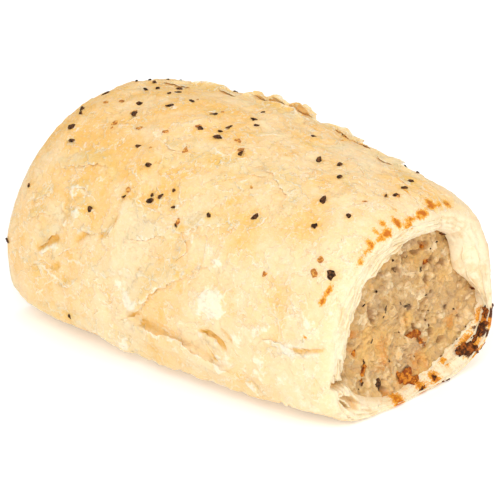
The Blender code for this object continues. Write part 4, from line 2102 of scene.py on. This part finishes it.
@dataclass
class Ply:
    """A thin layer of the skin that ends in a crisp torn edge."""

    edge: tuple[Place, ...]
    wide: float
    lift: float = 0.3
    ragged: float = 0.5
    curl: float = 0

    THICK = 0.2 * MM
    STEP = 0.32
    COLUMNS = 9
    SEED = 400

    def make(self, crust: Crust, index: int) -> Piece:
        """Makes the layer.

        Args:
            crust: The pastry it is part of.
            index: Its number, which picks its torn outline.

        Returns:
            The layer, which lies on the right-hand side of its edge.
        """
        right, down, side_right, side_down, share = self._walk(crust)
        grain = Grain(self.SEED + index)
        rows = len(right)
        line = np.zeros((rows, 3))
        line[:, 0] = share * (rows * self.STEP)
        torn = self.ragged * (grain.rough(line, 3.5, 4) + 0.5 * grain.rough(line + 40, 1.1, 3))
        window = np.clip(np.sin(np.pi * share), 0, 1) ** 0.55
        across = np.linspace(0, 1, self.COLUMNS + 1) ** 1.3
        width = self.wide * (0.35 + 0.65 * window) * (1 + 0.2 * grain.rough(line, 6, 2))
        offset = torn[:, None] * (1 - across) + width[:, None] * across
        at_right = right[:, None] + side_right[:, None] * offset
        at_down = down[:, None] + side_down[:, None] * offset
        lift = self.lift * window[:, None] * (1 - across) ** 1.2
        lift = lift + self.curl * window[:, None] * np.maximum(1 - across / 0.35, 0) ** 2
        lift = lift * (1 + 0.35 * grain.rough(line + 90, 2.5, 2)[:, None])
        lift = lift - 0.14 * across**2 - 0.12 * (1 - window[:, None])
        at = crust.sample(crust.points, at_right, at_down)
        up = unit(crust.sample(crust.normals, at_right, at_down))
        points = inside_box(at + up * (lift[..., None] * MM), SHEET_CLEARANCE)
        layers = {
            name: crust.sample(values, at_right, at_down)
            for name, values in crust.layers.items()
        }
        # The torn edge is painted pale: partly thin pale dough, partly painted highlight.
        layers["pale"] = np.maximum(layers["pale"], 0.55 * (1 - across / 0.3) * window[:, None])
        # Less painted shade on the lifted layer.
        layers["gap_shade_and_stain"] = 0.25 * layers["gap_shade_and_stain"]
        layers["black"] = np.zeros(layers["black"].shape)
        sheet = roll_out_sheet(f"ply_{index}", points, layers)
        merge_and_close(sheet)
        self._face_out(sheet, up)
        thicken(sheet, self.THICK, -1)
        return sheet

    @staticmethod
    def _face_out(sheet: Piece, up: Array) -> None:
        """Turns the layer's faces to the outside of the roll.

        Args:
            sheet: The layer.
            up: Outward directions on it.
        """
        normal = sheet.data.polygons[len(sheet.data.polygons) // 2].normal
        if np.dot(np.array(normal), up.reshape(-1, 3).mean(axis=0)) < 0:
            bpy.ops.object.mode_set(mode="EDIT")
            bpy.ops.mesh.select_all(action="SELECT")
            bpy.ops.mesh.flip_normals()
            bpy.ops.object.mode_set(mode="OBJECT")

    def _walk(self, crust: Crust) -> tuple[Array, ...]:
        """Walks along the edge in even steps.

        Args:
            crust: The pastry.

        Returns:
            Places along and round the roll, the way to the right hand, and the share
            of the edge's length, at each step.
        """
        right = np.array([place[0] for place in self.edge], float)
        down = crust.chart.round_to(np.array([place[1] for place in self.edge], float))
        walked = paced(right, down)
        share = np.linspace(0, 1, max(int(walked[-1] / self.STEP), 6) + 1)
        at = share * walked[-1]
        right, down = np.interp(at, walked, right), np.interp(at, walked, down)
        for line in (right, down) * 6:
            line[1:-1] = 0.25 * line[:-2] + 0.5 * line[1:-1] + 0.25 * line[2:]
        way_right, way_down = np.gradient(right), np.gradient(down)
        length = np.hypot(way_right, way_down)
        return right, down, -way_down / length, way_right / length, share


@dataclass
class Plies:
    """All the torn layers that lie on the skin, joined into one piece."""

    crust: Crust
    seed: int = 131
    strays: int = 26

    LAYERS = (
        Ply(Crust.FLAP_EDGE, 7, 0.42, 0.45), Ply(Crust.FOLD_EDGE, 4.2, 0.38, 0.35, 0.25),
        Ply(Crust.ROLLED_EDGE[::-1], 6, 0.45, 0.8, 0.25),
        Ply(((12.8, 183.4), (15.4, 183.6), (17.4, 185), (19, 188), (20.6, 193)), 3, 0.3, 0.2),
        Ply(((19.4, 202), (17.4, 200), (16, 195), (14.4, 188)), 2, 0.3, 0.2),
        Ply(((-12.2, 150), (-13, 156), (-14.4, 161)), 3, 0.26, 0.3),
        Ply(((-15.5, 160.5), (-18.5, 161.5), (-21.8, 160)), 2.4, 0.22, 0.3),
        Ply(((-25.8, 163.5), (-28.6, 167), (-32.6, 173)), 3.4, 0.3, 0.4),
        Ply(((-24.6, 150), (-25.6, 153.5), (-26.9, 157)), 2, 0.25, 0.3),
        Ply(((-31, 148), (-33.5, 153), (-37, 156)), 3, 0.25, 0.5),
        Ply(((-29, 158), (-33, 160), (-37.5, 165)), 3, 0.25, 0.6),
        Ply(((-20, 147), (-24, 145), (-29, 147)), 3, 0.22, 0.6),
        Ply(((-22, 168), (-25.5, 172), (-28, 178)), 3, 0.22, 0.5),
        Ply(((-31.5, 180), (-34, 184), (-38, 185)), 3, 0.22, 0.5),
        Ply(((-8, 171), (-13, 175), (-18, 174)), 4, 0.2, 0.6),
        Ply(((25.5, 125), (20.8, 114), (15, 110), (9, 106)), 6, 0.3, 0.7),
        Ply(Crust.PEELED[2], 6, 0.28, 0.8), Ply(Crust.PEELED[3][::-1], 5, 0.3, 0.8),
        Ply(Crust.PEELED[4][::-1], 5, 0.3, 0.7), Ply(Crust.PEELED[5][::-1], 4.5, 0.28, 0.6),
        Ply(((43.6, 168), (40.9, 170), (38, 170), (36.5, 172)), 2.8, 0.25, 0.3),
        Ply(((26, 184), (29, 176), (34, 172), (40, 175)), 4, 0.28, 0.6),
        Ply(((-11, 139), (-6, 144), (0, 142)), 3.5, 0.25, 0.4),
        Ply(((5, 147), (8, 152), (6, 158)), 3, 0.25, 0.5),
        Ply(((-34, 78), (-32, 72), (-27, 68), (-18.7, 66)), 5, 0.5, 0.7, 0.4),
        Ply(((-17, 66), (-12.8, 57), (-8.6, 55), (-2.4, 54), (1, 57)), 7, 0.7, 0.9, 1.2),
        Ply(((3, 60), (7.4, 53), (12.2, 52), (15, 57)), 5, 0.6, 0.9, 0.7),
        Ply(((16, 60), (22, 56), (29, 60), (35, 58)), 5, 0.45, 0.8, 0.4),
        Ply(((-12, 68), (-7, 64), (-1, 64), (4, 68)), 4, 0.5, 0.8, 0.6),
        Ply(((9.5, 84), (13.4, 74), (15, 65)), 4, 0.3, 0.7),
    )

    def build(self) -> Piece:
        """Builds the layers.

        Returns:
            The finished piece.
        """
        layers = [*self.LAYERS, *self._strays()]
        made = [layer.make(self.crust, index) for index, layer in enumerate(layers)]
        return join_pieces("torn_plies", "pastry", made, self.crust.finish, crease=50)

    def _strays(self) -> list[Ply]:
        """Scatters smaller torn layers over the whole skin.

        Returns:
            The layers.
        """
        rng = np.random.default_rng(self.seed)
        strays = []
        for _ in range(self.strays):
            along, angle = rng.uniform(-38, 36), rng.uniform(-30, 200)
            turn = rng.normal(0, 0.7) + (math.pi if rng.random() < 0.5 else 0)
            long = rng.uniform(4, 9)
            places = []
            for share in (-0.5, 0, 0.5):
                bow = rng.normal(0, 0.12) * long
                right = along + share * long * math.cos(turn) - bow * math.sin(turn)
                round_ = angle + 2 * (share * long * math.sin(turn) + bow * math.cos(turn))
                places.append((float(np.clip(right, -41, 40)), round_ % 360))
            angles = [place[1] for place in places]
            if max(angles) - min(angles) < 120:
                lift = rng.uniform(0.15, 0.3)
                strays.append(Ply(tuple(places), rng.uniform(2, 4.5), lift, 0.5))
        return strays


@dataclass
class Flakes:
    """All the lifted shards of the crust, joined into one piece."""

    crust: Crust

    SHARDS = (
        Flake((-8, 60), 9, 5, 1, 175, 3), Flake((-4, 57), 6, 4, 1.5, 190, 4),
        Flake((-12, 62), 5, 3, 0.6, 170, 2), Flake((9, 58), 5, 2.5, 0.7, 180, 1),
        Flake((14, 55), 6, 3, 0.5, 185), Flake((-31, 74), 7, 3.5, 0.5, 185),
        Flake((-18, 70), 6, 3, 0.5, 178), Flake((24, 62), 6, 3, 0.35, 170),
        Flake((-24, 40), 8, 4, 0.6, 190, 1), Flake((18, 32), 7, 4, 0.5, 170),
    )

    def build(self) -> Piece:
        """Builds the shards."""
        made = [shard.make(self.crust, index) for index, shard in enumerate(self.SHARDS)]
        return join_pieces("lifted_flakes", "pastry", made, self.crust.finish, toast=0.35, pale=0.3)


@dataclass(frozen=True)
class Leaf:
    """One thin layer of dough that stands out of a cut end."""

    share: float
    start: float
    stop: float
    stand: float
    ragged: float = 0.25
    side: float = 1
    root: float = 1.6


@dataclass
class Leaves:
    """The separate layers of dough that show at both cut ends."""

    crust: Crust
    seed: int = 500
    thick: float = 0.2 * MM
    step: float = 0.8
    rows: int = 5

    LEAVES = (
        Leaf(0.27, 70, 186, 0.30), Leaf(0.46, 60, 190, 0.28, 0.3), Leaf(0.60, 84, 183, 0.34, 0.35),
        Leaf(0.78, 74, 186, 0.42, 0.45), Leaf(0.95, 92, 194, 0.75, 0.7),
        Leaf(0.36, -62, 50, 0.16, 0.15), Leaf(0.62, -70, 62, 0.16, 0.2),
        Leaf(0.33, 246, 304, 0.16, 0.2), Leaf(0.30, 60, 225, 0.30, 0.3, -1),
        Leaf(0.55, 40, 200, 0.34, 0.35, -1), Leaf(0.82, 80, 230, 0.45, 0.5, -1),
        Leaf(0.40, -60, 45, 0.2, 0.2, -1), Leaf(0.68, -40, 60, 0.2, 0.2, -1),
    )

    def build(self) -> Piece:
        """Builds the layers."""
        made = [self._leaf(index, leaf) for index, leaf in enumerate(self.LEAVES)]
        return join_pieces("dough_leaves", "pastry", made, self.crust.finish, crumb=0.9, pale=0.2)

    def _leaf(self, index: int, leaf: Leaf) -> Piece:
        """Makes one layer.

        Args:
            index: Its number, which picks its torn edge.
            leaf: Its place and size.

        Returns:
            The layer.
        """
        grain = Grain(self.seed + index)
        count = int((leaf.stop - leaf.start) / self.step)
        angle = np.linspace(leaf.start, leaf.stop, count + 1)
        line = np.column_stack([angle, np.zeros(count + 1), np.zeros(count + 1)])
        window = np.clip(np.sin(np.pi * (angle - leaf.start) / (leaf.stop - leaf.start)), 0, 1)
        window = window**0.4
        share = leaf.share + 0.05 * grain.rough(line, 24, 3)
        torn = leaf.ragged * (grain.rough(line, 9, 4) - 0.2)
        top = (leaf.stand + torn) * window - 0.35 * (1 - window)
        deep = np.linspace(0, 1, self.rows + 1)[:, None] ** 1.4
        out = mix(top[None, :], -leaf.root, deep) * MM
        lean = 0.07 * (deep - 0.3) + 0.03 * grain.rough(line + 50, 7, 3)[None, :]
        share = np.clip(share[None, :] + lean, 0.05, 1)
        turn = np.broadcast_to(angle % 360, share.shape)
        lip = self.crust.near if leaf.side > 0 else self.crust.far
        half = 0.5 * self.crust.shape.length
        back = lip.setback(share, self.crust.slope(turn))
        x = leaf.side * (half - np.maximum(back - out, 0.05 * MM))
        sheet = roll_out_sheet(f"leaf_{index}", self.crust.place(x, share, turn), {})
        thicken(sheet, self.thick)
        move_points(sheet, inside_box(read_points(sheet)))
        return sheet


@dataclass
class Membranes:
    """Thin crinkled sheets of dough that cross the hollow corner of the near end."""

    crust: Crust
    seed: int = 300
    depth: float = 2.8 * MM
    thick: float = 0.34 * MM
    rows: int = 26
    columns: int = 14

    SHEETS = (
        ((-22.2, 7.6), (-17.8, 7.4), 0.9),
        ((-19.8, 6.9), (-17, 3.9), 1.1),
    )

    def build(self) -> Piece:
        """Builds the sheets."""
        made = [self._sheet(index, *sheet) for index, sheet in enumerate(self.SHEETS)]
        return join_pieces("dough_membranes", "pastry", made, self.crust.finish, crumb=0.75, toast=0.2)

    def _sheet(self, index: int, start: Place, end: Place, front: float) -> Piece:
        """Makes one sheet.

        Args:
            index: Its number, which picks its crinkles.
            start: Y and Z of one side, in millimetres.
            end: Y and Z of the other side.
            front: How far its free edge is behind the cut face, in millimetres.

        Returns:
            The sheet.
        """
        sheet, co = add_sheet(f"membrane_{index}", self.rows, self.columns)
        grain = Grain(self.seed + index)
        across, deep = 0.5 + 0.5 * co[:, 0], 0.5 + 0.5 * co[:, 1]
        first, last = np.array(start) * MM, np.array(end) * MM
        side = unit(np.array([-(last - first)[1], (last - first)[0]]))
        crinkle = grain.rough(co * np.array([1, 0.5, 0]), 0.9, 3)
        bend = (0.5 * crinkle + 0.3 * np.sin(math.pi * across)) * MM
        yz = first + across[:, None] * (last - first) + bend[:, None] * side
        half = 0.5 * self.crust.shape.length
        edge = front * MM + 0.5 * MM * (grain.rough(co * [1, 0, 0], 0.5, 3) + 0.4)
        x = half - 0.4 * MM - edge - deep * self.depth
        move_points(sheet, np.column_stack([x, yz]))
        thicken(sheet, self.thick)
        return sheet


# ---- studio ----


def way_to(azimuth: float, elevation: float) -> Vector:
    """Gives the direction from the roll to a lamp or a camera.

    Args:
        azimuth: How far round it stands from the front, towards the near end, in degrees.
        elevation: How far up it stands, in degrees.

    Returns:
        The direction, of length 1.
    """
    turn, rise = math.radians(azimuth), math.radians(elevation)
    level = math.cos(rise)
    return Vector((math.sin(turn) * level, -math.cos(turn) * level, math.sin(rise)))


@dataclass(frozen=True)
class SoftLight:
    """A large soft lamp that points at the roll."""

    name: str
    azimuth: float
    elevation: float
    away: float
    size: float
    watts: float

    def place(self, target: Vector) -> Piece:
        """Places the lamp.

        Args:
            target: What it points at.

        Returns:
            The lamp.
        """
        way = way_to(self.azimuth, self.elevation)
        bpy.ops.object.light_add(type="AREA", location=target + way * self.away)
        lamp = bpy.context.active_object
        lamp.name = self.name
        lamp.data.size = self.size
        lamp.data.energy = self.watts
        lamp.rotation_euler = way.to_track_quat("Z", "Y").to_euler()
        return lamp


@dataclass
class Studio:
    """A pale floor, soft light all round, and a camera above the near end."""

    floor_size: float = 6
    target: Vector = field(default_factory=lambda: Vector((0, 0, 19.14 * MM)))
    azimuth: float = 44.657
    elevation: float = 23.132
    away: float = 560.1 * MM
    lens: float = 195.36
    shift: tuple[float, float] = (-0.0038, -0.0011)
    sensor: float = 36
    clip: tuple[float, float] = (0.05, 20)
    sky: float = 0.58
    sky_tint: tuple[float, ...] = (1, 0.99, 0.97, 1)
    floor_white: Colour = (0.94, 0.94, 0.94)
    floor_rough: float = 0.9
    floor_glow: float = 0.25

    LIGHTS = (
        SoftLight("key_light", 30, 42, 0.9, 0.45, 3.2),
        SoftLight("side_light", 85, 32, 1, 0.6, 2.6),
        SoftLight("top_light", 230, 70, 0.9, 0.6, 1.3),
    )

    def build(self) -> None:
        """Builds the floor, the lamps, the sky and the camera."""
        bpy.ops.mesh.primitive_plane_add(size=self.floor_size)
        floor = bpy.context.active_object
        floor.name = "floor"
        paper = Dresser("pale_floor").finish(
            Base_Color=self.floor_white,
            Roughness=self.floor_rough,
            Emission_Color=self.floor_white,
            Emission_Strength=self.floor_glow,
        )
        floor.data.materials.append(paper)
        lamps = [light.place(self.target) for light in self.LIGHTS]
        self._light_sky()
        self._place_camera()

    def _light_sky(self) -> None:
        """Lights the scene evenly from all round."""
        scene = bpy.context.scene
        world = scene.world or bpy.data.worlds.new("sky")
        scene.world = world
        world.use_nodes = True
        background = world.node_tree.nodes["Background"]
        background.inputs["Color"].default_value = self.sky_tint
        background.inputs["Strength"].default_value = self.sky
        scene.view_settings.view_transform = "Standard"

    def _place_camera(self) -> None:
        """Places the camera and makes it the scene's."""
        way = way_to(self.azimuth, self.elevation)
        bpy.ops.object.camera_add(location=self.target + way * self.away)
        camera = bpy.context.active_object
        camera.rotation_euler = way.to_track_quat("Z", "Y").to_euler()
        camera.data.sensor_width = self.sensor
        camera.data.lens = self.lens
        camera.data.shift_x, camera.data.shift_y = self.shift
        camera.data.clip_start, camera.data.clip_end = self.clip
        bpy.context.scene.camera = camera


# ---- the whole roll ----


def main() -> None:
    """Builds the sausage roll's looks and its studio."""
    logging.basicConfig(level=logging.INFO, format="%(message)s")
    low, high = CAD_BOX
    shape = RollShape(length=high[0] - low[0])
    crust = Crust(shape)
    LOG.info("pastry: %s", crust.build().name)
    filling = Filling(shape)
    LOG.info("filling: %s", filling.build().name)
    for piece in Seasoning(crust).build():
        LOG.info("seasoning: %s", piece.name)
    LOG.info("drips: %s", Drips(crust).build().name)
    for piece in MeatBits(filling).build():
        LOG.info("in the meat: %s", piece.name)
    LOG.info("torn layers: %s", Plies(crust).build().name)
    LOG.info("flakes: %s", Flakes(crust).build().name)
    LOG.info("leaves: %s", Leaves(crust).build().name)
    LOG.info("membranes: %s", Membranes(crust).build().name)
    Studio().build()


if __name__ == "__main__":
    main()
